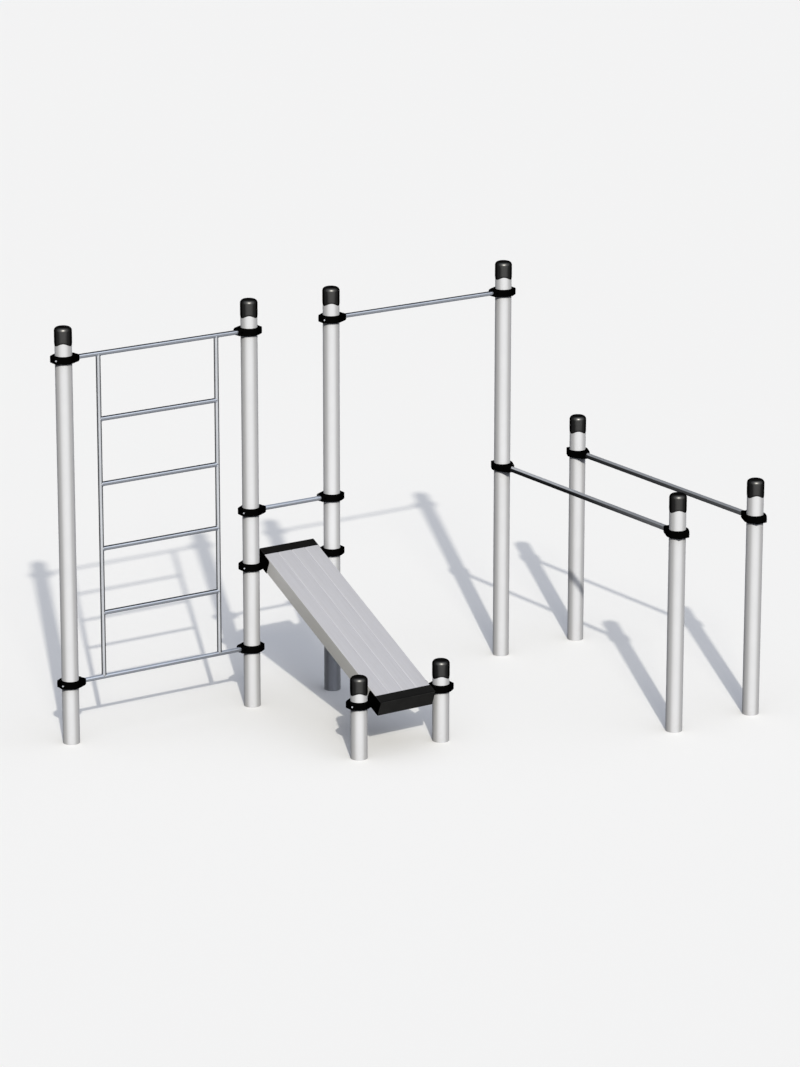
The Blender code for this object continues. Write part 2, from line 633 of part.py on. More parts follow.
def make_bench_end(name, frame):
    """A moulded end cap, in a frame at the visible end of the plank's top, with Y pointing off the end."""
    half = BOARD_WIDTH / 2 + FIT + CHEEK_THICKNESS
    nose_foot = NOSE_LENGTH + NOSE_LEAN
    corner = (CHEEK_RADIUS - CHEEK_LENGTH, -LIP_THICKNESS - CHEEK_RADIUS)
    outline = [(FIT, 0.0), (NOSE_LENGTH, -NOSE_DROP), (nose_foot, -END_CAP_DEPTH),
               (-CHEEK_LENGTH, -END_CAP_DEPTH)]
    outline += arc(corner, CHEEK_RADIUS, math.pi, math.pi / 2, CHEEK_STEPS)
    outline += [(FIT, -LIP_THICKNESS)]
    cap = prism(name, outline, -half, half, from_the_side, frame)
    bevel_nose(cap, half)
    room = BOARD_WIDTH / 2 + FIT
    floor = -BOARD_DEPTH - FIT
    pocket_end = TONGUE_LENGTH + FIT
    tail = -CHEEK_LENGTH - OVERRUN
    open_pocket = box("pocket", (-room, tail, floor), (room, 0.0, OVERRUN), frame)
    lip_pocket = box("lip pocket", (-room, tail, floor), (room, pocket_end, -LIP_THICKNESS), frame)
    hollow_roof = -NOSE_DROP - NOSE_WALL
    hollow_floor = NOSE_FLOOR - END_CAP_DEPTH
    hollow = [(0.0, hollow_roof), (NOSE_LENGTH - 2 * NOSE_WALL, hollow_roof),
              (nose_foot - 2 * NOSE_WALL, hollow_floor), (0.0, hollow_floor)]
    hollow_half = half - NOSE_BEVEL - NOSE_WALL
    nose_hollow = prism("nose hollow", hollow, -hollow_half, hollow_half, from_the_side, frame)
    work(cap, [open_pocket, lip_pocket, nose_hollow] + bench_bar_tools(), "DIFFERENCE")
    return finish(cap, BLACK_CAP)


def make_bench():
    """The plank, its two end caps and the two bars that carry it."""
    make_board()
    top = bench_matrix() @ Matrix.Translation((0.0, BOARD_OVER_TOP_BAR, BOARD_RISE))
    foot = bench_matrix() @ Matrix.Translation((0.0, -BENCH_SPAN - BOARD_OVER_FOOT_BAR, BOARD_RISE))
    make_bench_end("bench_end_top", top)
    make_bench_end("bench_end_foot", foot @ Matrix.Rotation(math.pi, 4, "Z"))
    bar_between("bench_bar_top", LADDER_RIGHT, PULL_UP_LEFT, BENCH_TOP_HEIGHT, BAR_DIAMETER, BAR_WALL)
    bar_between("bench_bar_foot", BENCH_LEFT, BENCH_RIGHT, BENCH_FOOT_HEIGHT, BAR_DIAMETER, BAR_WALL)


def make_bars():
    """The pull-up bar, the bar that links two tall posts, and the two parallel bars."""
    bar_between("pull_up_bar", PULL_UP_LEFT, PULL_UP_RIGHT, PULL_UP_HEIGHT, BAR_DIAMETER, BAR_WALL)
    bar_between("link_bar", LADDER_RIGHT, PULL_UP_LEFT, LINK_HEIGHT, BAR_DIAMETER, BAR_WALL)
    bar_between("parallel_bar_left", PARALLEL_LEFT, PULL_UP_RIGHT, PARALLEL_HEIGHT,
                PARALLEL_BAR_DIAMETER, PARALLEL_BAR_WALL)
    bar_between("parallel_bar_right", PARALLEL_RIGHT, PARALLEL_BACK, PARALLEL_HEIGHT,
                PARALLEL_BAR_DIAMETER, PARALLEL_BAR_WALL)


def main():
    clear_scene()
    for site in POSTS:
        make_post(site)
        make_post_cap(site)
    make_clamps()
    make_ladder()
    make_bars()
    make_bench()


main()
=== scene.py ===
# %% [markdown]
# # A calisthenics station
#
# Nine round posts stand on the ground, each under a black cap. Black clamps grip them and hold the
# bars: a ladder, a bench, a pull-up bar and two parallel bars. The solid model gives every place and
# size, and this lesson dresses it. Each piece is worked out as a surface with numpy, gets a finish
# made of shader nodes, and stands in for the plain solid at the same place.

# %% The frame
import math
from collections import namedtuple

import bpy
import numpy as np
from mathutils import Matrix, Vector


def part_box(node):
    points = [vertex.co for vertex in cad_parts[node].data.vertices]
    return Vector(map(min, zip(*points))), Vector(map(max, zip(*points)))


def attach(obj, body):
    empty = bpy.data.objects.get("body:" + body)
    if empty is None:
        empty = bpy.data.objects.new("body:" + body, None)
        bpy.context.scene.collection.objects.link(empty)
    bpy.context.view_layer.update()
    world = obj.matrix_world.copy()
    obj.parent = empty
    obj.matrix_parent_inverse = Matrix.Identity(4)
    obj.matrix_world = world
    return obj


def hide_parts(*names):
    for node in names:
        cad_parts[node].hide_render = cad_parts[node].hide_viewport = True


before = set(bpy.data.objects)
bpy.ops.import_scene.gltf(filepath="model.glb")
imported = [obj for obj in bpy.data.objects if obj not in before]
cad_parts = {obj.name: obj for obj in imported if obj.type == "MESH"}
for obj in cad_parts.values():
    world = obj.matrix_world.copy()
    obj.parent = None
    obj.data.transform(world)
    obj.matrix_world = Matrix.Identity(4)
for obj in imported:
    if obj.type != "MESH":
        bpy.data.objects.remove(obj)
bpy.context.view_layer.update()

# %% [markdown]
# ## The camera
#
# The view looks from the front left, a little downwards, through a long lens, so the posts stay
# almost parallel. The camera's three axes come from its turn, its tilt and its roll, and fill its
# matrix. That is plainer than a chain of rotations: each column is one axis in the station's frame.

# %% Camera
CAMERA_PLACE = np.array([-15.02402, -22.29579, 9.07606])
CAMERA_TURN, CAMERA_TILT, CAMERA_ROLL = np.radians([33.804, 16.152, 0.032])
CAMERA_LENS = 149.393
CAMERA_REACH = 500.0


def camera_axes():
    """Forward from turn and tilt, sideways square to it, upwards from both, and a turn by the roll."""
    forward = np.array([
        math.sin(CAMERA_TURN) * math.cos(CAMERA_TILT),
        math.cos(CAMERA_TURN) * math.cos(CAMERA_TILT),
        -math.sin(CAMERA_TILT),
    ])
    level = np.array([math.cos(CAMERA_TURN), -math.sin(CAMERA_TURN), 0.0])
    upright = np.cross(level, forward)
    right = level * math.cos(CAMERA_ROLL) + upright * math.sin(CAMERA_ROLL)
    up = upright * math.cos(CAMERA_ROLL) - level * math.sin(CAMERA_ROLL)
    return right, up, -forward


def add_object(name, data, axes=np.eye(3), place=(0.0, 0.0, 0.0)):
    """A new object in the scene, at a place, with its own x, y and z along three axes."""
    matrix = np.eye(4)
    matrix[:3, :3] = np.column_stack(axes)
    matrix[:3, 3] = place
    thing = bpy.data.objects.new(name, data)
    thing.matrix_world = Matrix(matrix.tolist())
    bpy.context.scene.collection.objects.link(thing)
    return thing


camera = add_object("camera", bpy.data.cameras.new("camera"), camera_axes(), CAMERA_PLACE)
camera.data.lens = CAMERA_LENS
camera.data.clip_end = CAMERA_REACH
bpy.context.scene.camera = camera
print("camera at", CAMERA_PLACE.round(2))

# %% [markdown]
# ## Surfaces from grids
#
# Every piece starts as a grid of points, rows by columns, where a formula gives each point. Quads
# join neighbouring points and wrap round the columns. The rows wrap too, or flat lids close the
# first and the last one. Each point also keeps its place in the piece's own frame, so that a
# texture can run along the piece whichever way it lies.

# %% Shapes
Shape = namedtuple("Shape", "points own quads lids")


def full_turn(steps):
    """Even angles once round a circle."""
    return np.linspace(0.0, math.tau, steps, endpoint=False)


def quarter_turn(steps):
    """Even angles from 0 to a right angle."""
    return np.linspace(0.0, math.pi / 2, steps)


def grid_shape(grid, wrap_rows=False, lids=True):
    """Quads between a grid's neighbours, wrapped round its columns, with a lid on its two end rows."""
    rows, columns = grid.shape[:2]
    row = np.arange(rows if wrap_rows else rows - 1)[:, None]
    column = np.arange(columns)[None, :]
    below = (row + 1) % rows
    beside = (column + 1) % columns
    corners = [line * columns + place for line, place in
               ((row, column), (row, beside), (below, beside), (below, column))]
    quads = np.stack(np.broadcast_arrays(*corners), -1).reshape(-1, 4)
    points = grid.reshape(-1, 3)
    ends = [np.arange(columns)[::-1], np.arange(columns) + (rows - 1) * columns] if lids else []
    return facing_out(Shape(points, points.copy(), quads, ends))


def facing_out(shape):
    """The volume sums signed tetrahedra from the origin. If it is negative, every face is turned over."""
    fans = [np.stack([np.full(len(lid) - 2, lid[0]), lid[1:-1], lid[2:]], -1) for lid in shape.lids]
    triangles = np.concatenate([shape.quads[:, [0, 1, 2]], shape.quads[:, [0, 2, 3]], *fans])
    a, b, c = (shape.points[triangles[:, k]] for k in range(3))
    volume = np.einsum("ij,ij->i", a, np.cross(b, c)).sum()
    if volume < 0:
        return shape._replace(quads=shape.quads[:, ::-1], lids=[lid[::-1] for lid in shape.lids])
    return shape


def placed(shape, origin, axes):
    """Own x, y and z go along the three rows of axes, from the origin."""
    points = shape.points @ axes + origin
    return facing_out(shape._replace(points=points - points.mean(0)))._replace(points=points)


def joined(shapes):
    """Several shapes in one, each shape's indices moved on by the points before it."""
    starts = np.cumsum([0] + [len(shape.points) for shape in shapes[:-1]])
    points, own, quads, lids = zip(*shapes)
    quads = [part + start for part, start in zip(quads, starts)]
    lids = [lid + start for part, start in zip(lids, starts) for lid in part]
    return Shape(np.concatenate(points), np.concatenate(own), np.concatenate(quads), lids)


print("shape fields:", Shape._fields)

# %% [markdown]
# ## From a shape to a piece
#
# A piece is a mesh with a finish. It rides on the station's only body, and the solids that it stands
# for are hidden. Smooth shading is broken only where two faces meet at a steep angle, so tubes look
# round and their ends stay crisp.

# %% Pieces
GROUND = np.array([1.0, 1.0, 0.0])
SHARP_ANGLE = math.radians(32)
OWN_STEP = 3.7
made = []


def make_piece(name, shape, finish, nodes=(), marks=None):
    """A mesh with its own places and marks as attributes, which stands in for the solids."""
    mesh = bpy.data.meshes.new(name)
    faces = shape.quads.tolist() + [lid.tolist() for lid in shape.lids]
    mesh.from_pydata(shape.points.tolist(), [], faces)
    own = mesh.attributes.new("own", "FLOAT_VECTOR", "POINT")
    own.data.foreach_set("vector", (shape.own + [0.0, 0.0, OWN_STEP * len(made)]).astype(np.float32).ravel())
    for mark, values in (marks or {}).items():
        layer = mesh.attributes.new(mark, "FLOAT", "POINT")
        layer.data.foreach_set("value", np.asarray(values, np.float32).ravel())
    mesh.shade_smooth()
    mesh.set_sharp_from_angle(angle=SHARP_ANGLE)
    mesh.materials.append(finish)
    piece = add_object(name, mesh)
    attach(piece, "root")
    if nodes:
        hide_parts(*nodes)
    made.append(len(mesh.polygons))


print("smooth below", round(math.degrees(SHARP_ANGLE)), "degrees")

# %% [markdown]
# ## Building with shader nodes
#
# A finish is a small network of nodes. Short helpers keep it readable: one adds a node with its
# inputs, one does arithmetic, and others mix two colours or fade between them. A material then
# reads almost like a sentence.

# %% Node helpers
def fill(tree, node, inputs):
    """Links a node's inputs to sockets, or sets them to plain values."""
    for name, value in inputs.items():
        if isinstance(value, bpy.types.NodeSocket):
            tree.links.new(value, node.inputs[name])
        else:
            node.inputs[name].default_value = value


def add_node(tree, kind, inputs=None, **settings):
    """A new node with its settings and its inputs."""
    node = tree.nodes.new(kind)
    for name, value in settings.items():
        setattr(node, name, value)
    fill(tree, node, inputs or {})
    return node


def work_out(tree, operation, first, second):
    """One step of arithmetic."""
    return add_node(tree, "ShaderNodeMath", {0: first, 1: second}, operation=operation).outputs[0]


def blend(tree, share, first, second):
    """The first colour where the share is 0, the second where it is 1."""
    inputs = {0: share, 6: first, 7: second}
    return add_node(tree, "ShaderNodeMix", inputs, data_type="RGBA").outputs[2]


def rescale(tree, value, low, high, to_low=0.0, to_high=1.0):
    """A smooth step from to_low to to_high while the value goes from low to high."""
    inputs = {"Value": value, "From Min": low, "From Max": high, "To Min": to_low, "To Max": to_high}
    return add_node(tree, "ShaderNodeMapRange", inputs, interpolation_type="SMOOTHSTEP").outputs[0]


def fade(tree, value, low, high, first, second):
    """The first colour up to the low value, the second from the high one on."""
    return blend(tree, rescale(tree, value, low, high), first, second)


def upward(tree, vector):
    """The z part of a place or a direction."""
    return add_node(tree, "ShaderNodeSeparateXYZ", {0: vector}).outputs["Z"]


def cosine(tree, first, second):
    """The dot product: the cosine between two directions of length 1."""
    inputs = {0: first, 1: second}
    return add_node(tree, "ShaderNodeVectorMath", inputs, operation="DOT_PRODUCT").outputs["Value"]


def mark_of(tree, name):
    """A mark that the surface carries, from 0 to 1."""
    return add_node(tree, "ShaderNodeAttribute", attribute_name=name).outputs["Fac"]


def grey(value, blue=0.0):
    """A grey with a little more blue than red."""
    return (value * (1 - blue / 2), value, value * (1 + blue), 1.0)


print("grey 0.5:", grey(0.5))

# %% [markdown]
# ## Four effects that several finishes share
#
# Moulded and powder-coated surfaces have a fine grain. Drawn and extruded metal has long streaks.
# Everything outdoors gathers a little dust near the ground and on what faces up. The fourth effect is
# painted light: the cosine between the surface and a lit side, with which several finishes paint light
# and shade into their colour. Each effect is a node group with named inputs and outputs, built once and
# set differently in each finish. Noise in three dimensions has no seam, which is why it was chosen over
# a flat pattern.

# %% Shared groups
# The lit side: the posts' paint is painted brighter as it turns towards it.
PAINTED_LIGHT_SIDE = (-0.50, -0.866, 0.0)


def new_group(name, inputs):
    """A node group with an input for each value, and the sockets that give these inputs inside it."""
    group = bpy.data.node_groups.new(name, "ShaderNodeTree")
    for title, value in inputs.items():
        kind = "NodeSocketVector" if isinstance(value, tuple) else "NodeSocketFloat"
        group.interface.new_socket(title, in_out="INPUT", socket_type=kind).default_value = value
    return group, group.nodes.new("NodeGroupInput").outputs


def with_outputs(group, results):
    """The group with an output for each result."""
    for title in results:
        group.interface.new_socket(title, in_out="OUTPUT", socket_type="NodeSocketFloat")
    fill(group, group.nodes.new("NodeGroupOutput"), results)
    return group


def own_place(tree):
    """Each point's place in its piece's own frame, in metres."""
    return add_node(tree, "ShaderNodeAttribute", attribute_name="own").outputs["Vector"]


def noise(tree, place, scale, detail, roughness=0.5):
    """Soft random values from 0 to 1 that depend on the place alone."""
    inputs = {"Vector": place, "Scale": scale, "Detail": detail, "Roughness": roughness}
    return add_node(tree, "ShaderNodeTexNoise", inputs, noise_dimensions="3D").outputs["Fac"]


def make_grain_group():
    """Fine lumps for the height, and wide soft clouds for the tone."""
    group, given = new_group("grain", {"Lumps per metre": 500.0, "Clouds per metre": 9.0})
    lumps = noise(group, own_place(group), given["Lumps per metre"], 2.0)
    clouds = noise(group, own_place(group), given["Clouds per metre"], 4.0)
    return with_outputs(group, {"Height": lumps, "Tone": rescale(group, clouds, 0.3, 0.7)})


def make_streaks_group():
    """Noise that is squeezed along the piece, so that its spots become streaks."""
    group, given = new_group("streaks", {"Squeeze": (1.0, 1.0, 0.02), "Lines per metre": 900.0})
    inputs = {0: own_place(group), 1: given["Squeeze"]}
    squeezed = add_node(group, "ShaderNodeVectorMath", inputs, operation="MULTIPLY").outputs[0]
    lines = noise(group, squeezed, given["Lines per metre"], 2.0)
    wide = noise(group, squeezed, work_out(group, "MULTIPLY", given["Lines per metre"], 0.2), 3.0)
    return with_outputs(group, {"Height": lines, "Tone": rescale(group, wide, 0.3, 0.7)})


def make_dust_group():
    """Dust where the surface faces up, and within splashing reach of the ground, broken up by noise."""
    group, given = new_group("dust", {"Splash height": 0.16, "Amount": 0.3})
    coordinates = add_node(group, "ShaderNodeTexCoord").outputs
    splash = rescale(group, upward(group, coordinates["Object"]), 0.0, given["Splash height"], 1.0, 0.0)
    settled = rescale(group, upward(group, coordinates["Normal"]), 0.6, 1.0, 0.0, 0.35)
    spots = noise(group, coordinates["Object"], 38.0, 6.0, 0.65)
    broken = rescale(group, spots, 0.38, 0.68, 0.15, 1.0)
    both = work_out(group, "MULTIPLY", work_out(group, "MAXIMUM", splash, settled), broken)
    return with_outputs(group, {"Dust": work_out(group, "MULTIPLY", both, given["Amount"])})


def make_painted_light_group():
    """The cosine between the surface and a lit side, for painted light and shade, and the surface's upward
    part.
    """
    group, given = new_group("painted_light", {"Painted light side": PAINTED_LIGHT_SIDE})
    normal = add_node(group, "ShaderNodeTexCoord").outputs["Normal"]
    lit_cosine = cosine(group, normal, given["Painted light side"])
    return with_outputs(group, {"Painted light": lit_cosine, "Up": upward(group, normal)})


MAKERS = make_grain_group, make_streaks_group, make_dust_group, make_painted_light_group
GROUPS = {group.name: group for group in (make() for make in MAKERS)}
print("node groups:", sorted(GROUPS))

# %% [markdown]
# ## The body of a finish
#
# All finishes share one layout. The colour is mixed with dust, the roughness varies with the same
# pattern as the colour, and a bump node turns a height into a normal. Values that are the same all
# over, such as the share of metal, are set on the shader's own sockets.

# %% Finish layout
DUST_COLOUR = (0.36, 0.33, 0.28, 1.0)


def use_group(tree, name, inputs=None):
    """A shared group inside a material, with its own values."""
    return add_node(tree, "ShaderNodeGroup", inputs, node_tree=GROUPS[name]).outputs


def new_finish(name):
    """A material and its tree, which holds a Principled shader and an output."""
    finish = bpy.data.materials.new(name)
    finish.use_nodes = True
    return finish, finish.node_tree


def complete(finish, colour, pattern, roughness, depth, dust, constants):
    """Dusts the colour. The pattern's tone gives the roughness and its height the relief."""
    tree = finish.node_tree
    dusty = use_group(tree, "dust", {"Amount": dust})["Dust"]
    relief = {"Height": pattern["Height"], "Strength": 1.0, "Distance": depth}
    fill(tree, tree.nodes["Principled BSDF"], {
        "Base Color": blend(tree, dusty, colour, DUST_COLOUR),
        "Roughness": rescale(tree, pattern["Tone"], 0.0, 1.0, *roughness),
        "Normal": add_node(tree, "ShaderNodeBump", relief).outputs[0], **constants,
    })
    return finish


print("dust colour", DUST_COLOUR[:3])

# %% [markdown]
# ## The posts' paint
#
# The posts carry a pale grey powder paint with the faint orange peel of a baked coat. Its colour holds
# painted light: a painted sheen, brightest on the side that faces the light, and painted shade, duller,
# on the others. The change is soft, without an edge, because it follows the cosine from the
# painted-light group.

# %% Post paint
def make_post_paint():
    """Painted light: from dull to bright as the surface turns to the lit side, with soft clouds in the bright
    tone.
    """
    finish, tree = new_finish("post_paint")
    grain = use_group(tree, "grain", {"Lumps per metre": 420.0})
    lit_cosine = use_group(tree, "painted_light")["Painted light"]
    painted_bright = blend(tree, grain["Tone"], (0.80, 0.82, 0.88, 1.0), (0.82, 0.84, 0.90, 1.0))
    # Painted shade on the sides turned from the light, a painted sheen on the side that faces it.
    colour = fade(tree, lit_cosine, 0.77, 1.02, (0.56, 0.57, 0.60, 1.0), painted_bright)
    return complete(finish, colour, grain, (0.46, 0.54), 0.00006, 0.10, {"Specular IOR Level": 0.12})


post_paint = make_post_paint()
print("post paint:", post_paint.name)

# %% [markdown]
# ## Black plastic and coating
#
# The caps and the bench's ends are moulded black plastic, and the clamps have a black coating that
# swallows almost all light. Their tone rises with the cosine between the surface and one side, which
# is painted light: a painted highlight and sheen where caps and clamps face the light, and paler
# painted faces at the front of the bench's ends. A dielectric reflects most at its rim, which would
# draw a pale line round each cap on this pale floor, so these finishes are mostly metallic with a
# black tint: their reflections fade towards the rim.

# %% Black finishes
# Sides painted lighter: the caps' and clamps' painted highlight, and the bench ends' painted front.
HIGHLIGHT_SIDE = (-0.44, -0.77, 0.46)
NOSE_LIGHT_SIDE = (0.0, -0.90, 0.436)


def black_finish(name, side, ramp, roughness, lumps, depth, metallic, dust=0.02):
    """A ramp of tones against the cosine to one side, which paints light on it, darker in soft clouds, with
    grain as relief.
    """
    finish, tree = new_finish(name)
    grain = use_group(tree, "grain", {"Lumps per metre": lumps})
    light_cosine = use_group(tree, "painted_light", {"Painted light side": side})["Painted light"]
    dark = grey(ramp[0][1])
    colour = dark
    for (low, _), (high, tone) in zip(ramp, ramp[1:]):
        colour = fade(tree, light_cosine, low, high, colour, grey(tone))
    colour = blend(tree, rescale(tree, grain["Tone"], 0.0, 1.0, 0.0, 0.16), colour, dark)
    constants = {"Metallic": metallic, "Specular IOR Level": 0.0, "Specular Tint": grey(0.0)}
    return complete(finish, colour, grain, roughness, depth, dust, constants)


# The caps' ramp paints a highlight and a sheen on the side that faces the light.
cap_plastic = black_finish(
    "cap_plastic", HIGHLIGHT_SIDE, ((0.50, 0.012), (0.76, 0.022), (0.889, 0.074), (1.0, 0.165)),
    (0.36, 0.42), 900.0, 0.00003, 0.8)
# The clamps' ramp paints a faint light on the side that faces the light.
clamp_coating = black_finish(
    "clamp_coating", HIGHLIGHT_SIDE, ((0.3, 0.0012), (1.0, 0.0024)), (0.50, 0.60), 800.0, 0.00004, 0.5, dust=0.0)
# The ends' ramp is painted light: faces towards the front are paler, the others darker.
bench_end_plastic = black_finish(
    "bench_end_plastic", NOSE_LIGHT_SIDE, ((0.05, 0.002), (0.56, 0.009), (0.71, 0.034)),
    (0.40, 0.48), 700.0, 0.00005, 0.5)
print("black finishes:", [m.name for m in (cap_plastic, clamp_coating, bench_end_plastic)])

# %% [markdown]
# ## Steel bars
#
# The bars are drawn steel tubes, so their texture runs along them. Their colour holds painted
# reflections: a lying bar has a painted bright band on its upper front, between a painted dark line on
# its top and a painted dark underside. On an upright bar the painted bright band faces the lit side,
# and its other sides are painted shade. The thick parallel bars have a painted bright reflection above
# and a painted dark one below, and a mark along each bar makes that contrast weaker towards the front.

# %% Steel finishes
def complete_steel(finish, colour, streaks, roughness, dust=0.04):
    """Bare metal, whose rim keeps a dark tone."""
    constants = {"Metallic": 1.0, "Specular Tint": (0.35, 0.35, 0.37, 1.0)}
    return complete(finish, colour, streaks, roughness, 0.00002, dust, constants)


def make_bar_steel():
    """Painted reflections: lying bars follow how far they face up, dark, bright, dark. Upright ones have one
    painted bright side.
    """
    finish, tree = new_finish("bar_steel")
    streaks = use_group(tree, "streaks")
    painted_light = use_group(tree, "painted_light", {"Painted light side": (-0.46, -0.888, 0.0)})
    painted_bright = blend(tree, streaks["Tone"], grey(0.79, 0.13), grey(0.89, 0.15))
    # Lying bars: a painted dark underside, and a painted bright band higher up.
    lying = fade(tree, painted_light["Up"], 0.20, 0.52, grey(0.32, 0.12), painted_bright)
    # A painted dark line on the top, as strong as the bar's mark.
    painted_dark_top = rescale(tree, painted_light["Up"], 0.60, 0.80, 0.0, mark_of(tree, "painted_dark_top"))
    lying = blend(tree, painted_dark_top, lying, grey(0.08, 0.12))
    # Upright tubes: painted bright on the lit side, painted shade on the others.
    painted_lit_tone = blend(tree, streaks["Tone"], grey(0.58, 0.05), grey(0.66, 0.06))
    upright = fade(tree, painted_light["Painted light"], 0.72, 0.97, grey(0.08, 0.05), painted_lit_tone)
    colour = blend(tree, mark_of(tree, "upright"), lying, upright)
    return complete_steel(finish, colour, streaks, (0.38, 0.48))


def make_grip_steel():
    """A painted bright reflection above and a painted dark one below, with less of that contrast where the
    along mark is low.
    """
    finish, tree = new_finish("grip_steel")
    along = mark_of(tree, "along")
    # Painted reflection above, painted shade below; the along mark grades both.
    above = fade(tree, along, 0.20, 1.05, grey(0.44, 0.03), grey(0.80, 0.03))
    below = fade(tree, along, 0.0, 0.60, grey(0.15, 0.04), grey(0.018, 0.04))
    colour = fade(tree, use_group(tree, "painted_light")["Up"], 0.47, 0.70, below, above)
    return complete_steel(finish, colour, use_group(tree, "streaks"), (0.34, 0.44))


def make_screw_steel():
    """Bright zinc with a faint change between the streaks."""
    finish, tree = new_finish("screw_steel")
    streaks = use_group(tree, "streaks")
    colour = blend(tree, streaks["Tone"], grey(0.64, 0.06), grey(0.72, 0.06))
    return complete_steel(finish, colour, streaks, (0.30, 0.40), dust=0.0)


bar_steel, grip_steel, screw_steel = make_bar_steel(), make_grip_steel(), make_screw_steel()
print("steel finishes:", [m.name for m in (bar_steel, grip_steel, screw_steel)])

# %% [markdown]
# ## The plank's finish
#
# The bench's plank is an extruded profile in a pale matt grey, with long fine lines from the die and
# a paler tone in its grooves, which is painted light against the grooves' shade. Its flanks get paler
# up the slope. The surface carries one mark for the grooves and one for the way up.

# %% Plank finish
# A paler colour in the grooves: painted light against their shade.
GROOVE_PAINTED_LIGHT = (0.60, 0.60, 0.64, 1.0)
LOW_FLANK, HIGH_FLANK = (0.50, 0.50, 0.495, 1.0), (0.64, 0.64, 0.65, 1.0)


def make_plank_finish():
    """Fine lines, a paler painted light by the groove mark, and flanks by the mark up the slope."""
    finish, tree = new_finish("plank")
    streaks = use_group(tree, "streaks", {"Lines per metre": 700.0})
    top = blend(tree, streaks["Tone"], (0.415, 0.418, 0.455, 1.0), (0.450, 0.454, 0.494, 1.0))
    top = blend(tree, rescale(tree, mark_of(tree, "groove"), 0.0, 1.0, 0.0, 0.35), top, GROOVE_PAINTED_LIGHT)
    flank = fade(tree, mark_of(tree, "along"), 0.45, 1.0, LOW_FLANK, HIGH_FLANK)
    colour = fade(tree, use_group(tree, "painted_light")["Up"], 0.35, 0.75, flank, top)
    return complete(finish, colour, streaks, (0.50, 0.60), 0.00004, 0.25, {"Specular IOR Level": 0.35})


plank_finish = make_plank_finish()
print("plank finish:", plank_finish.name)

# %% [markdown]
# ## The posts
#
# Each post is a round tube on the ground, and the solid's box gives its middle, radius and top. A
# tube is a closed profile of radius and height, turned about the post's axis. Its edges are a
# little cut off, because an edge with no width never catches the light.

# %% Posts
POST_WALL = 0.003
POST_SIDES = 96
EDGE_ROUND = 0.0006
POSTS = sorted(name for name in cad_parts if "post" in name and not name.endswith("_cap"))
UPRIGHT = np.eye(3)


def turned(radius, height, sides):
    """The point at an angle is radius times its cosine, radius times its sine, and the height."""
    angle = full_turn(sides)
    return np.stack(np.broadcast_arrays(radius * np.cos(angle), radius * np.sin(angle), height), -1)


def tube(length, radius, wall, sides):
    """A ring-shaped profile, out along the outside and back along the inside, turned about the axis."""
    r, w, e = radius, radius - wall, EDGE_ROUND
    rings = np.array([
        (r - e, 0.0), (r, e), (r, length - e), (r - e, length),
        (w + e, length), (w, length - e), (w, e), (w + e, 0.0),
    ])
    return grid_shape(turned(rings[:, :1], rings[:, 1:], sides), wrap_rows=True, lids=False)


def middle(node):
    """The middle of a solid's box."""
    low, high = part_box(node)
    return np.array((low + high) / 2)


def make_post(name):
    """A tube from the ground to the top of the solid's box."""
    low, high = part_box(name)
    post = tube(high.z, (high.x - low.x) / 2, POST_WALL, POST_SIDES)
    make_piece(name + "_tube", placed(post, middle(name) * GROUND, UPRIGHT), post_paint, [name])


for post_name in POSTS:
    make_post(post_name)
print("posts:", len(POSTS))

# %% [markdown]
# ## The caps
#
# A cap is a moulded dome on a skirt. It is turned like the post, but its lower edge follows a
# cosine with three waves, and the skirt above is stretched to meet it. Near the edge the skirt gets
# thinner, so that it hugs the post. The rim has many rows, because the small bright reflection of
# the light is bent there.

# %% Caps
CAP_SKIRT = 0.1135
CAP_WAVE = 0.009
CAP_LOBES = 3
CAP_RIM_RADIUS = 0.025
CAP_CROWN = 0.004
CAP_TAPER = 0.0014
CAP_TAPER_LENGTH = 0.014
CAP_SIDES = 120
CAP_PLAY = 0.0002
ROOF_RING = 0.002
SKIRT_ROWS = (0.06, 0.2, 0.45, 1.0)


def cap_shape(radius, bore):
    """Under the roof, down the bore, up the skirt from its wavy edge, over the rim and across the crown."""
    flat = np.ones(CAP_SIDES)
    edge = -CAP_SKIRT + CAP_WAVE * np.cos(CAP_LOBES * full_turn(CAP_SIDES))
    shoulder = (-CAP_CROWN - CAP_RIM_RADIUS) * flat
    rows = [(ROOF_RING, shoulder), (bore, shoulder), (bore, edge)]
    lip = np.linspace(0.0, CAP_TAPER_LENGTH, 6)
    rows += [(radius - CAP_TAPER * (1.0 - up / CAP_TAPER_LENGTH) ** 2, edge + up) for up in lip]
    start = edge + CAP_TAPER_LENGTH
    rows += [(radius, start + (shoulder - start) * share) for share in SKIRT_ROWS]
    rim = radius - CAP_RIM_RADIUS
    rows += [(rim + CAP_RIM_RADIUS * math.cos(turn), shoulder + CAP_RIM_RADIUS * math.sin(turn))
             for turn in quarter_turn(14)[1:]]
    rows += [(rim * share, -CAP_CROWN * share ** 2 * flat) for share in np.linspace(1.0, 0.0, 7)[1:-1]]
    radii, heights = zip(*rows)
    return grid_shape(turned(np.array(radii)[:, None], np.stack(heights), CAP_SIDES))


def make_cap(post):
    """A cap on its post's axis, with its crown at the top of the solid cap's box."""
    low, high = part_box(post + "_cap")
    post_low, post_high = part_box(post)
    cap = cap_shape((high.x - low.x) / 2, (post_high.x - post_low.x) / 2 + CAP_PLAY)
    top = middle(post) * GROUND + (0.0, 0.0, high.z)
    make_piece(post + "_cap_shell", placed(cap, top, UPRIGHT), cap_plastic, [post + "_cap"])


for post_name in POSTS:
    make_cap(post_name)
print("caps:", len(POSTS))

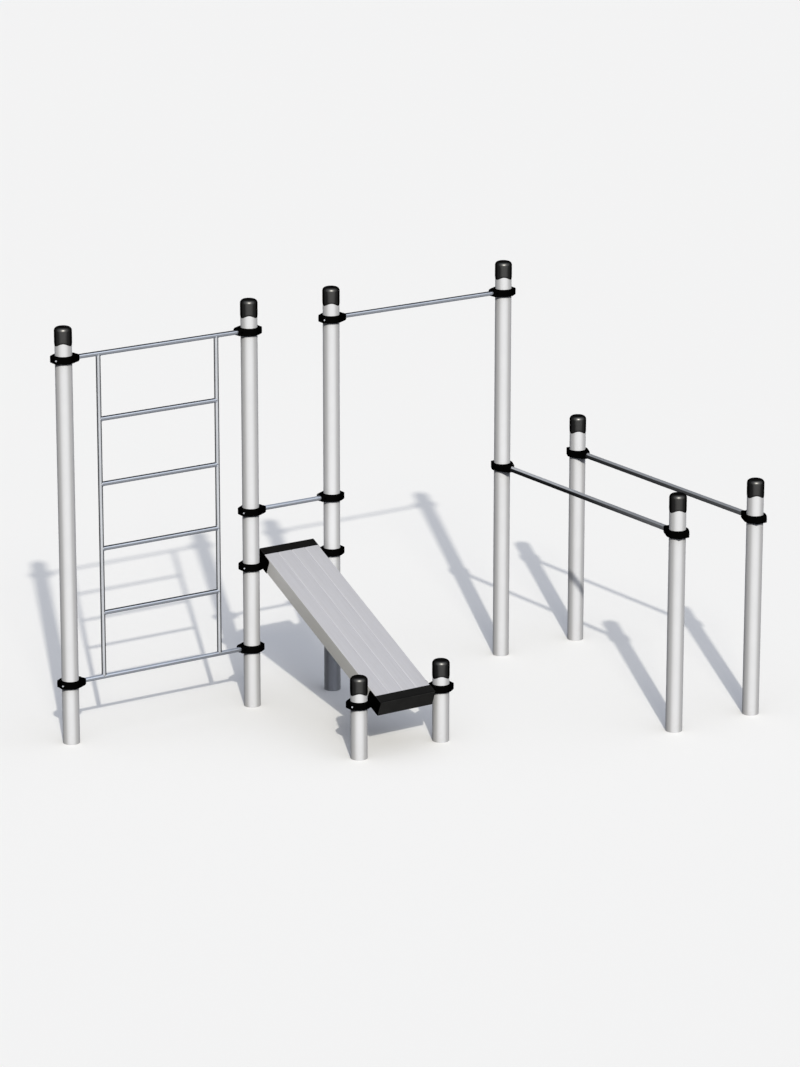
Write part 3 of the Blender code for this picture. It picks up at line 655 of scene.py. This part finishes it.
# %% [markdown]
# ## The clamps
#
# A clamp is two cast halves that close round the post and round the bar's end. Seen from above, a
# half is a band that leaves the ring along straight sides towards the bar and towards the ear. For
# every place along the bar and every height there is one outer and one inner surface, so a half is
# two sheets over the same grid, joined along their edges. The screw's pocket is the outer sheet
# pressed down to a flat seat, and the grid is bent into rings there, so that its wall is round.

# %% Clamp sizes
POST_RADIUS = 0.054
FIT = 0.0003
RING_WALL = 0.0157
RING_RADIUS = POST_RADIUS + FIT + RING_WALL
SPLIT = 0.001
CLAMP_HEIGHT = 0.0456
Kind = namedtuple("Kind", "bar_radius body cover ear")
THIN = Kind(0.015, (0.101, 0.025), (0.088, 0.023), (-0.079, 0.030))
THICK = Kind(0.019, (0.106, 0.025), (0.116, 0.023), (-0.079, 0.035))
EAR_CHAMFER = 0.005
BOSS_CHAMFER = 0.013
BOSS_CHAMFER_SHARE = 0.6
BAR_END = 0.058
CAST_ROUND = 0.0018
EAR_SCREW = -0.071
BOSS_SCREW = 0.072995
POCKET_RADIUS = 0.0065
POCKET_LIP = POCKET_RADIUS + 0.0006
POCKET_BEND = 0.0078
HAIR = 0.0001
SEAT_RINGS = [0.0, 0.002, 0.004, 0.0055, POCKET_RADIUS - 3 * HAIR]
POCKET_RINGS = np.array([*SEAT_RINGS, POCKET_RADIUS, POCKET_LIP, POCKET_BEND])


def arch(radius, x):
    """The height of a half circle over x, and 0 beyond it."""
    return np.sqrt(np.maximum(radius ** 2 - x ** 2, 0.0))


def touch_point(x, y):
    """Where a straight side from a corner meets the ring: the corner's angle plus an arc cosine."""
    angle = math.atan2(y, x) + math.acos(RING_RADIUS / math.hypot(x, y))
    return RING_RADIUS * math.cos(angle), RING_RADIUS * math.sin(angle)


def outer_wall(x, boss, ear):
    """The ring between the two tangent points, and straight sides out to the boss and to the ear."""
    wall = arch(RING_RADIUS, x)
    for (tip, height), side in ((boss, 1), (ear, -1)):
        touch_x, touch_y = touch_point(side * tip, height)
        slope = (touch_y - height) / (side * tip - touch_x)
        wall = np.where(side * x > touch_x, height + slope * side * (tip - x), wall)
    return wall


def half_height(x, kind):
    """Full height in the middle, falling straight to the longer boss's tip and to the ear's tip."""
    half = CLAMP_HEIGHT / 2
    tip = max(kind.body[0], kind.cover[0])
    boss_drop = (half - kind.bar_radius) * BOSS_CHAMFER_SHARE
    boss = np.clip((x - tip + BOSS_CHAMFER) / BOSS_CHAMFER, 0.0, 1.0) * boss_drop
    ear = np.clip(kind.ear[0] + EAR_CHAMFER - x, 0.0, EAR_CHAMFER)
    return half - boss - ear


def quarter_round(distance, radius):
    """How far a rounded edge falls back, at a distance from the edge smaller than its radius."""
    return radius - arch(radius, np.clip(radius - distance, 0.0, radius))


print("a clamp's ring is", round(2000 * RING_RADIUS, 1), "mm across")

# %% [markdown]
# ## One half of a clamp
#
# The stations along the bar are close together where the shape changes: at the rounded ends, round
# the pocket, and where the bore is steep. The cosine of even steps gives the last of these for
# free. The section at each station runs down the outer sheet and back up the inner one.

# %% Clamp halves
def clamp_stations(ear, tip, pocket):
    """Places along the bar, packed at the ends, at the pocket and along the bore."""
    fall = CAST_ROUND * (1 - np.cos(quarter_turn(5)))
    bore = (POST_RADIUS + FIT) * np.cos(np.linspace(0.0, math.pi, 41))
    near = pocket + np.concatenate([-POCKET_RINGS[::-1], POCKET_RINGS[1:]])
    near = near[(near > ear + CAST_ROUND / 2) & (near < tip - CAST_ROUND / 2)]
    spread = np.concatenate([np.linspace(ear + 0.003, ear + 0.020, 6), np.linspace(BAR_END, tip - 0.003, 14)])
    spread = spread[abs(spread - pocket) > POCKET_BEND + 4 * HAIR]
    stations = np.concatenate([ear + fall, tip - fall, bore, near, spread, [BAR_END - HAIR]])
    return np.unique(stations.round(6))


def bend_to_circles(across, up):
    """Square rings round the pocket's middle become circles, and square again beyond the bend."""
    square = np.maximum(abs(across), abs(up))
    distance = np.maximum(np.hypot(across, up), 1e-9)
    share = np.clip((POCKET_BEND - square) / (POCKET_BEND - POCKET_LIP), 0.0, 1.0)
    stretch = 1.0 + share * (square / distance - 1.0)
    return across * stretch, up * stretch


def clamp_half(kind, boss, pocket, seat):
    """Outer sheet: the wall less its rounds, pressed to the pocket's seat. Inner: bore, split or channel."""
    x = clamp_stations(kind.ear[0], boss[0], pocket)[:, None]
    end = quarter_round(np.minimum(x - kind.ear[0], boss[0] - x), CAST_ROUND)
    high = half_height(x, kind) - end
    edge = (high - CAST_ROUND) + CAST_ROUND * np.sin(quarter_turn(5))
    rings = np.broadcast_to(POCKET_RINGS, (len(x), len(POCKET_RINGS)))
    top = np.concatenate([rings, (high - CAST_ROUND + POCKET_BEND) / 2, edge], 1)
    z = np.concatenate([-top[:, :0:-1], top], 1)
    across, up = bend_to_circles(x - pocket, z)
    x_outer = pocket + across
    fall = quarter_round(high - abs(z), CAST_ROUND)
    outer = outer_wall(x_outer, boss, kind.ear) - fall - end
    pressed = np.hypot(across, up) < POCKET_RADIUS - HAIR
    outer = np.where(pressed, np.minimum(outer, seat), outer)
    channel = np.sin(np.linspace(-math.pi / 2, math.pi / 2, 17)) * (kind.bar_radius + FIT)
    inner_z = np.concatenate([high, np.broadcast_to(channel[::-1], (len(x), 17)), -high], 1)
    notch = arch(kind.bar_radius + FIT, inner_z) * (x >= BAR_END)
    inner = np.maximum(np.maximum(notch, arch(POST_RADIUS + FIT, x)), SPLIT)
    grid = np.stack([
        np.concatenate([x_outer, np.broadcast_to(x, inner.shape)], 1),
        np.concatenate([outer, inner], 1),
        np.concatenate([up, inner_z], 1),
    ], -1)
    return grid_shape(grid)


clamp_bodies = {kind: clamp_half(kind, kind.body, EAR_SCREW, kind.ear[1]) for kind in (THIN, THICK)}
clamp_covers = {kind: clamp_half(kind, kind.cover, BOSS_SCREW, kind.cover[1]) for kind in (THIN, THICK)}
print("points in a half:", len(clamp_bodies[THIN].points))

# %% [markdown]
# ## The screws
#
# Two socket screws draw the halves together: one through the ear, one through the boss and the
# bar. A head is turned about its axis, and its hexagonal socket is the same ring of points, whose
# radius is the hexagon's: the distance to a flat side divided by the cosine of the angle from it.

# %% Screws
HEAD_RADIUS = 0.006
HEAD_HEIGHT = 0.005
SOCKET_APOTHEM = 0.0025
SOCKET_DEPTH = 0.0028
SOCKET_BREAK = 0.0004
HEAD_CHAMFER = 0.0006
HEAD_SIDES = 36


def screw_head():
    """Side, chamfer and top of the head, then down the hexagonal socket to its floor."""
    side = math.tau / 6
    hexagon = SOCKET_APOTHEM / np.cos((full_turn(HEAD_SIDES) + side / 2) % side - side / 2)
    circle = np.full(HEAD_SIDES, HEAD_RADIUS)
    radius = np.stack([circle, circle, circle - HEAD_CHAMFER / 3, circle - HEAD_CHAMFER,
                       hexagon + SOCKET_BREAK, hexagon, hexagon, hexagon * 0.3])
    sunk = [HEAD_HEIGHT, HEAD_CHAMFER, HEAD_CHAMFER / 3, 0.0, 0.0, SOCKET_BREAK, SOCKET_DEPTH, SOCKET_DEPTH]
    return grid_shape(turned(radius, HEAD_HEIGHT - np.array(sunk)[:, None], HEAD_SIDES))


head = screw_head()
print("faces on a screw head:", len(head.quads))

# %% [markdown]
# ## Setting the clamps on the posts
#
# One pair of halves serves the twelve places on thin bars, and a longer pair the four on the parallel
# bars. A clamp's own frame has the bar along x, so it only needs its turn about the post in degrees.
# The two at the back of the parallel bars are also turned over. The middle of the solid clamp gives
# the height, and its post gives the axis.

# %% Clamps
BACK_TURN = -90
GRIPS = (
    ("ladder_top_{}", ("tall_post_1", 0), ("tall_post_2", 180)),
    ("ladder_foot_{}", ("tall_post_1", 0), ("tall_post_2", 180)),
    ("link_{}", ("tall_post_2", 0), ("tall_post_3", 180)),
    ("bench_top_{}", ("tall_post_2", 0), ("tall_post_3", 180)),
    ("bench_foot_{}", ("bench_post_1", 0), ("bench_post_2", 180)),
    ("pull_up_{}", ("tall_post_3", 0), ("tall_post_4", 180)),
    ("parallel_{}_back", ("tall_post_4", BACK_TURN), ("parallel_post_1", BACK_TURN)),
    ("parallel_{}_front", ("parallel_post_2", 90), ("parallel_post_3", 90)),
)


def clamp_axes(turn):
    """The bar's way, the cover's way and upwards. The last two are reversed for the back turn."""
    over = -1 if turn == BACK_TURN else 1
    c, s = round(math.cos(math.radians(turn))), round(math.sin(math.radians(turn)))
    return np.array([(c, s, 0), (-s * over, c * over, 0), (0, 0, over)], float)


def make_clamp(name, post, turn):
    """Two halves and two screw heads, whose seats lie on the sides of the ear and of the boss."""
    kind = THICK if name.startswith("parallel") else THIN
    axes = clamp_axes(turn)
    low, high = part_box(name + "_clamp_body")
    place = middle(post) * GROUND + (0.0, 0.0, (low.z + high.z) / 2)
    body = placed(clamp_bodies[kind], place, axes * [[1], [-1], [1]])
    cover = placed(clamp_covers[kind], place, axes)
    make_piece(name + "_body", body, clamp_coating, [name + "_clamp_body"])
    make_piece(name + "_cover", cover, clamp_coating, [name + "_clamp_cover"])
    for part, x, seat, way, finish in (
        ("_ear_screw", EAR_SCREW, kind.ear[1], -1, screw_steel),
        ("_boss_screw", BOSS_SCREW, kind.cover[1], 1, screw_steel if turn == BACK_TURN else clamp_coating),
    ):
        seat_place = place + np.array([x, way * seat, 0.0]) @ axes
        head_axes = [axes[0], axes[2], way * axes[1]]
        make_piece(name + part, placed(head, seat_place, head_axes), finish)


for pair, left_grip, right_grip in GRIPS:
    make_clamp(pair.format("left"), *left_grip)
    make_clamp(pair.format("right"), *right_grip)
print("clamps:", 2 * len(GRIPS))

# %% [markdown]
# ## The bars
#
# Each bar is a tube again, laid from one post to the next. Its solid's box gives both ends and the
# axis. The own frame keeps z along the bar, so the drawn texture follows it.

# %% Bars
BAR_SIDES = 64
BAR_WALL = 0.0025


def along_axes(direction):
    """Two directions square to the bar, then the bar's own."""
    z = direction / np.linalg.norm(direction)
    x = np.cross((0.0, 0.0, 1.0), z)
    if np.linalg.norm(x) < 1e-6:
        x = np.array([1.0, 0.0, 0.0])
    x = x / np.linalg.norm(x)
    return np.array([x, np.cross(z, x), z])


def bar_between(start, end, radius):
    """A tube with its axis from the start to the end."""
    way = np.subtract(end, start)
    return placed(tube(np.linalg.norm(way), radius, BAR_WALL, BAR_SIDES), start, along_axes(way))


def bar_ends(node):
    """The two ends of a bar's axis, along its box's longest side."""
    low, high = (np.array(corner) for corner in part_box(node))
    long_side = high - low == max(high - low)
    return [np.where(long_side, corner, (low + high) / 2) for corner in (low, high)]


def make_bar(node, kind, finish, painted_dark_top=0.0, along=(0.0, 1.0)):
    """The bar, with its mark for the painted dark line on top and a mark that runs from end to end between
    two values.
    """
    start, end = bar_ends(node)
    bar = bar_between(start, end, kind.bar_radius)
    share = bar.own[:, 2] / np.linalg.norm(end - start)
    marks = {"painted_dark_top": np.full(len(share), painted_dark_top), "along": along[0] + (along[1] - along[0]) * share}
    make_piece(node + "_tube", bar, finish, [node], marks)


# Each bar's share of the painted dark line on its top.
make_bar("pull_up_bar", THIN, bar_steel, painted_dark_top=1.0)
for node in ("link_bar", "bench_bar_top", "bench_bar_foot"):
    make_bar(node, THIN, bar_steel, painted_dark_top=0.3)
make_bar("parallel_bar_left", THICK, grip_steel)
# The right grip's along mark spans less, so its painted reflections change less along it.
make_bar("parallel_bar_right", THICK, grip_steel, along=(0.25, 0.50))
print("pull-up bar from", *bar_ends("pull_up_bar"))

# %% [markdown]
# ## The ladder
#
# The ladder is one welded piece: an upper and a lower bar, two stiles between them and four rungs
# between the stiles. Where two round tubes of the same size meet at a right angle, the seam rises
# as the cosine of the angle round the tube. A weld bead is a thin rope of metal along that seam,
# with small ripples.

# %% Ladder
STILE_INSET = 0.246
RUNG_COUNT = 4
BEAD_RADIUS = 0.0022
BEAD_RIPPLES = 34
BEAD_RIPPLE_SHARE = 0.10
BEAD_STEPS = 136
BEAD_SIDES = 10
BEAD_OUT = 0.0008
BEAD_SADDLE = 0.002
TUBE_RADIUS = THIN.bar_radius
# The ladder's foot bar takes less of the painted dark line on top.
FOOT_PAINTED_DARK_TOP = 0.35


def weld_bead(place, branch, main):
    """A closed rope along the seam: across by cosine and sine, outwards by the size of the cosine."""
    branch, main = np.array([branch, main])
    third = np.cross(branch, main)
    angle = full_turn(BEAD_STEPS)[:, None]
    reach = TUBE_RADIUS + BEAD_OUT
    out = np.hypot(reach * np.cos(angle), BEAD_SADDLE)
    line = reach * (np.cos(angle) * main + np.sin(angle) * third) + out * branch
    forward = np.roll(line, -1, 0) - np.roll(line, 1, 0)
    forward /= np.linalg.norm(forward, axis=1, keepdims=True)
    side = np.cross(forward, branch)
    side /= np.linalg.norm(side, axis=1, keepdims=True)
    up = np.cross(side, forward)
    around = full_turn(BEAD_SIDES)[None, :, None]
    thick = BEAD_RADIUS * (1.0 + BEAD_RIPPLE_SHARE * np.sin(BEAD_RIPPLES * angle))[:, :, None]
    grid = line[:, None] + thick * (np.cos(around) * side[:, None] + np.sin(around) * up[:, None])
    return placed(grid_shape(grid, wrap_rows=True, lids=False), place, UPRIGHT)


def make_ladder():
    """Tubes and beads in one shape, laid out from the solid ladder's box. The two stiles are upright."""
    low, high = (np.array(corner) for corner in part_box("ladder_frame"))
    y = (low[1] + high[1]) / 2
    left, right = middle("tall_post_1")[0] + STILE_INSET, middle("tall_post_2")[0] - STILE_INSET
    foot, top = low[2] + TUBE_RADIUS, high[2] - TUBE_RADIUS
    tubes = [bar_between((low[0], y, z), (high[0], y, z), TUBE_RADIUS) for z in (foot, top)]
    tubes += [bar_between((x, y, foot), (x, y, top), TUBE_RADIUS) for x in (left, right)]
    beads = [weld_bead((x, y, z), (0, 0, way), (1, 0, 0))
             for x in (left, right) for z, way in ((foot, 1), (top, -1))]
    for z in np.linspace(foot, top, RUNG_COUNT + 2)[1:-1]:
        tubes.append(bar_between((left, y, z), (right, y, z), TUBE_RADIUS))
        beads += [weld_bead((x, y, z), (way, 0, 0), (0, 0, 1)) for x, way in ((left, 1), (right, -1))]
    sizes = [len(part.points) for part in tubes + beads]
    upright = [0.0, 0.0, 1.0, 1.0] + [0.0] * (len(sizes) - 4)
    # Painted dark line on top: full on every tube but the foot bar.
    painted_dark_top = [FOOT_PAINTED_DARK_TOP] + [1.0] * (len(sizes) - 1)
    marks = {"upright": np.repeat(upright, sizes), "painted_dark_top": np.repeat(painted_dark_top, sizes)}
    make_piece("ladder", joined(tubes + beads), bar_steel, ["ladder_frame"], marks)
    print("ladder tubes and beads:", len(tubes), len(beads))


make_ladder()

# %% [markdown]
# ## The bench's plank
#
# The plank lies in a sloping frame: x across, y up the slope and z square to its top. Its section
# has rounded upper edges and three shallow grooves between four slats, and is carried along the
# slope without change. Each point keeps how deep in a groove it lies, for the finish.

# %% Plank
BOARD_WIDTH = 0.410
BOARD_DEPTH = 0.097
BOARD_RISE = 0.0495
OVER_TOP_BAR = 0.0245
OVER_FOOT_BAR = 0.0114
SLATS = 4
GROOVE_WIDTH = 0.016
GROOVE_DEPTH = 0.0025
BOARD_ROUND = 0.004
UNDER_BEVEL = 0.002


def bench_axes():
    """The slope runs from the foot bar to the top bar, and the plank's normal is square to it."""
    top, foot = middle("bench_bar_top"), middle("bench_bar_foot")
    slope = (top - foot) / np.linalg.norm(top - foot)
    across = np.array([1.0, 0.0, 0.0])
    return top, np.linalg.norm(top - foot), np.array([across, slope, np.cross(across, slope)])


def plank_section():
    """The top, lowered by a cosine bell in each groove, then a round, the underside and a round."""
    half = BOARD_WIDTH / 2
    bend = quarter_turn(7)
    flat = np.linspace(-half + BOARD_ROUND, half - BOARD_ROUND, 3)
    grooves = [BOARD_WIDTH * k / SLATS - half for k in range(1, SLATS)]
    near = np.concatenate([g + np.linspace(-0.5, 0.5, 17) * GROOVE_WIDTH for g in grooves])
    x = np.unique(np.concatenate([flat, near]).round(6))
    away = np.min([abs(x - g) for g in grooves], 0) / (GROOVE_WIDTH / 2)
    depth = (1.0 + np.cos(math.pi * np.minimum(away, 1.0))) / 2
    right_x = half - BOARD_ROUND + BOARD_ROUND * np.sin(bend)
    right_z = -BOARD_ROUND + BOARD_ROUND * np.cos(bend)
    low_x = np.array([half, half - UNDER_BEVEL, UNDER_BEVEL - half, -half])
    low_z = np.array([UNDER_BEVEL, 0.0, 0.0, UNDER_BEVEL]) - BOARD_DEPTH
    all_x = np.concatenate([x, right_x[1:], low_x, -right_x[:0:-1]])
    all_z = np.concatenate([-GROOVE_DEPTH * depth, right_z[1:], low_z, right_z[:0:-1]])
    return all_x, all_z, np.pad(depth, (0, len(all_x) - len(x)))


def make_plank():
    """The section at even steps up the slope, with the own frame's z along the plank for the streaks."""
    top, span, axes = bench_axes()
    x, z, mark = plank_section()
    y = np.linspace(-span - OVER_FOOT_BAR, OVER_TOP_BAR, 30)[:, None]
    shape = grid_shape(np.stack(np.broadcast_arrays(x, y, z + BOARD_RISE), -1))
    plank = placed(shape._replace(own=shape.own[:, [0, 2, 1]]), top, axes)
    marks = {"groove": np.tile(mark, len(y)), "along": np.repeat(np.linspace(0.0, 1.0, len(y)), len(x))}
    make_piece("bench_plank", plank, plank_finish, ["bench_board"], marks)
    print("plank length", round(span + OVER_TOP_BAR + OVER_FOOT_BAR, 3), "section points", len(x))


make_plank()

# %% [markdown]
# ## The bench's ends
#
# A moulded end closes the plank. It wraps the sides and the underside like a shoe, and a nose with
# a leaning front and two cut corners goes on beyond. The section is a U. Past the plank's end its
# inside rises to the nose's top, which closes it.

# %% Bench ends
CHEEK = 0.002
CHEEK_LENGTH = 0.068
CHEEK_ROUND = 0.020
LIP = 0.003
END_PLAY = 0.0003
END_HALF = BOARD_WIDTH / 2 + CHEEK + END_PLAY
END_DEPTH = BOARD_DEPTH + LIP + CHEEK + END_PLAY
NOSE_LENGTH = 0.068
NOSE_DROP = 0.001
NOSE_LEAN = 0.005
NOSE_CORNER = 0.004
MOULD_ROUND = 0.0015
JOINT_STEPS = [-0.03, -HAIR, 0.0, 3 * HAIR, 0.03]


def end_stations():
    """Places along the end: the cheeks' tail, the plank's end, the nose's corner and its rounded front."""
    tail = -CHEEK_LENGTH + CHEEK_ROUND * (1 - np.cos(quarter_turn(8)))
    nose = NOSE_LENGTH - NOSE_CORNER + np.array([-0.001, 0.0, 0.001, -0.004])
    front = NOSE_LENGTH - MOULD_ROUND * (1 - np.sin(quarter_turn(6)))
    return np.concatenate([tail, JOINT_STEPS, nose, front])[:, None]


def end_section(y):
    """Heights of the U's upper edge and of the floor inside it at each station. Both meet in the nose."""
    cheek_top = -LIP - quarter_round(y + CHEEK_LENGTH, CHEEK_ROUND)
    nose_top = -NOSE_DROP * np.maximum(y, 0.0) / NOSE_LENGTH
    return np.where(y < 0.0, cheek_top, nose_top), np.where(y < 0.0, END_PLAY - BOARD_DEPTH, nose_top)


def bench_end():
    """Outside: down one side, under, up the other. Inside: the same way back. Both lean with the front."""
    y = end_stations()
    front = quarter_round(NOSE_LENGTH - y, MOULD_ROUND)
    top, inside = (height - front for height in end_section(y))
    ones = np.ones_like(y)
    inset = MOULD_ROUND * (1 - np.sin(quarter_turn(6)))
    drop = inset[::-1]
    down = np.concatenate([[0.0, 0.02], np.linspace(0.25, 0.95, 4)])
    side_z = top - MOULD_ROUND + (2 * MOULD_ROUND - END_DEPTH - top) * down
    half_x = np.concatenate([END_HALF - inset * (y >= 0.0), END_HALF * np.ones_like(side_z),
                             END_HALF - drop * ones], 1)
    half_z = np.concatenate([top - drop, side_z, (inset - END_DEPTH) * ones], 1)
    inner_x = (END_HALF - CHEEK - HAIR - MOULD_ROUND * (y >= 0.0)) * np.ones(2)
    inner_z = np.concatenate([top, inside], 1)
    x = np.concatenate([half_x, -half_x[:, ::-1], -inner_x, inner_x[:, ::-1]], 1)
    z = np.concatenate([half_z, half_z[:, ::-1], inner_z, inner_z[:, ::-1]], 1)
    depth = np.clip((-z - NOSE_DROP) / (END_DEPTH - NOSE_DROP), 0.0, 1.0)
    place_y = y + np.clip(y / NOSE_LENGTH, 0.0, 1.0) * NOSE_LEAN * depth
    corner = np.maximum(y - NOSE_LENGTH + NOSE_CORNER * (1 - depth), 0.0)
    narrowed = np.sign(x) * np.minimum(abs(x), END_HALF - corner - front)
    return grid_shape(np.stack([narrowed, place_y, z], -1))


def make_bench_ends():
    """The same shape at both ends of the plank, turned back to front at the foot."""
    top, span, axes = bench_axes()
    shape = bench_end()
    ends = ("bench_end_top", OVER_TOP_BAR, 1), ("bench_end_foot", -span - OVER_FOOT_BAR, -1)
    for node, along, way in ends:
        end = placed(shape, top + BOARD_RISE * axes[2] + along * axes[1], axes * [[way], [way], [1]])
        make_piece(node + "_shoe", end, bench_end_plastic, [node])
    print("points in an end:", len(shape.points))


make_bench_ends()

# %% [markdown]
# ## Floor, light and sky
#
# The station stands on a plain pale floor. The main light comes from behind the camera, a little
# to its right and a third of the way up, like a low sun in haze: a narrow core that draws the
# shadows, and a wide faint glow that softens those of the thin high bars. The sky fills them with
# a cool light. What the camera and the shiny metal see beyond the floor is a pale backdrop.

# %% Floor and light
FLOOR_HALF = 160.0
FLOOR_COLOUR = (0.887, 0.887, 0.887, 1.0)
SHADOW_RUN = np.array([0.6605, 1.3364, -1.0])
SUN_TINT = (1.0, 0.955, 0.849)
SUNS = {"sun_core": (2.39, 1.0), "sun_glow": (0.60, 12.0)}
SKY_TINT = (0.951, 1.0, 1.115, 1.0)
SKY_LEAN = (0.029, -0.273, 1.098)
SKY_LEVEL = -0.241
SKY_LEAST = 0.046
FLOOR_BOUNCE = (0.04, 0.04, 0.04, 1.0)
BACKDROP = (0.887, 0.887, 0.887, 1.0)
HIGH_BACKDROP = (0.50, 0.53, 0.58, 1.0)


def seen_directly(tree):
    """1 for the rays of the camera, of mirrors and of glass, 0 for the light that surfaces scatter."""
    path = add_node(tree, "ShaderNodeLightPath")
    seen = work_out(tree, "MAXIMUM", path.outputs["Is Camera Ray"], path.outputs["Is Glossy Ray"])
    return work_out(tree, "MAXIMUM", seen, path.outputs["Is Transmission Ray"])


def make_floor():
    """A wide square, matt, that throws little of its light back up."""
    corners = np.array([(-1, -1, 0), (1, -1, 0), (1, 1, 0), (-1, 1, 0)]) * FLOOR_HALF
    mesh = bpy.data.meshes.new("floor")
    mesh.from_pydata(corners.tolist(), [], [(0, 1, 2, 3)])
    finish, tree = new_finish("floor")
    colour = blend(tree, seen_directly(tree), FLOOR_BOUNCE, FLOOR_COLOUR)
    inputs = {"Base Color": colour, "Roughness": 1.0, "Specular IOR Level": 0.0}
    fill(tree, tree.nodes["Principled BSDF"], inputs)
    mesh.materials.append(finish)
    floor = add_object("floor", mesh)


def make_sun(name, strength, angle):
    """A sun's light runs along its own -z, so its z axis is turned against the shadows' run."""
    sun = add_object(name, bpy.data.lights.new(name, "SUN"), along_axes(-SHADOW_RUN))
    sun.data.energy = strength
    sun.data.angle = math.radians(angle)
    sun.data.color = SUN_TINT


def make_sky():
    """Sky light that grows with height and to the front, and a backdrop for the camera, metal and glass."""
    world = bpy.data.worlds.new("sky")
    world.use_nodes = True
    tree = world.node_tree
    direction = add_node(tree, "ShaderNodeTexCoord").outputs["Generated"]
    backdrop = fade(tree, upward(tree, direction), 0.12, 0.75, BACKDROP, HIGH_BACKDROP)
    level = work_out(tree, "ADD", cosine(tree, direction, SKY_LEAN), SKY_LEVEL)
    level = work_out(tree, "MAXIMUM", level, SKY_LEAST)
    sky = blend(tree, level, (0.0, 0.0, 0.0, 1.0), SKY_TINT)
    fill(tree, tree.nodes["Background"], {"Color": blend(tree, seen_directly(tree), sky, backdrop)})
    bpy.context.scene.world = world


make_floor()
for sun_name, (strength, angle) in SUNS.items():
    make_sun(sun_name, strength, angle)
make_sky()
bpy.context.scene.view_settings.view_transform = "Standard"
print("light comes down at", round(math.degrees(math.atan2(1.0, np.hypot(*SHADOW_RUN[:2])))), "degrees")
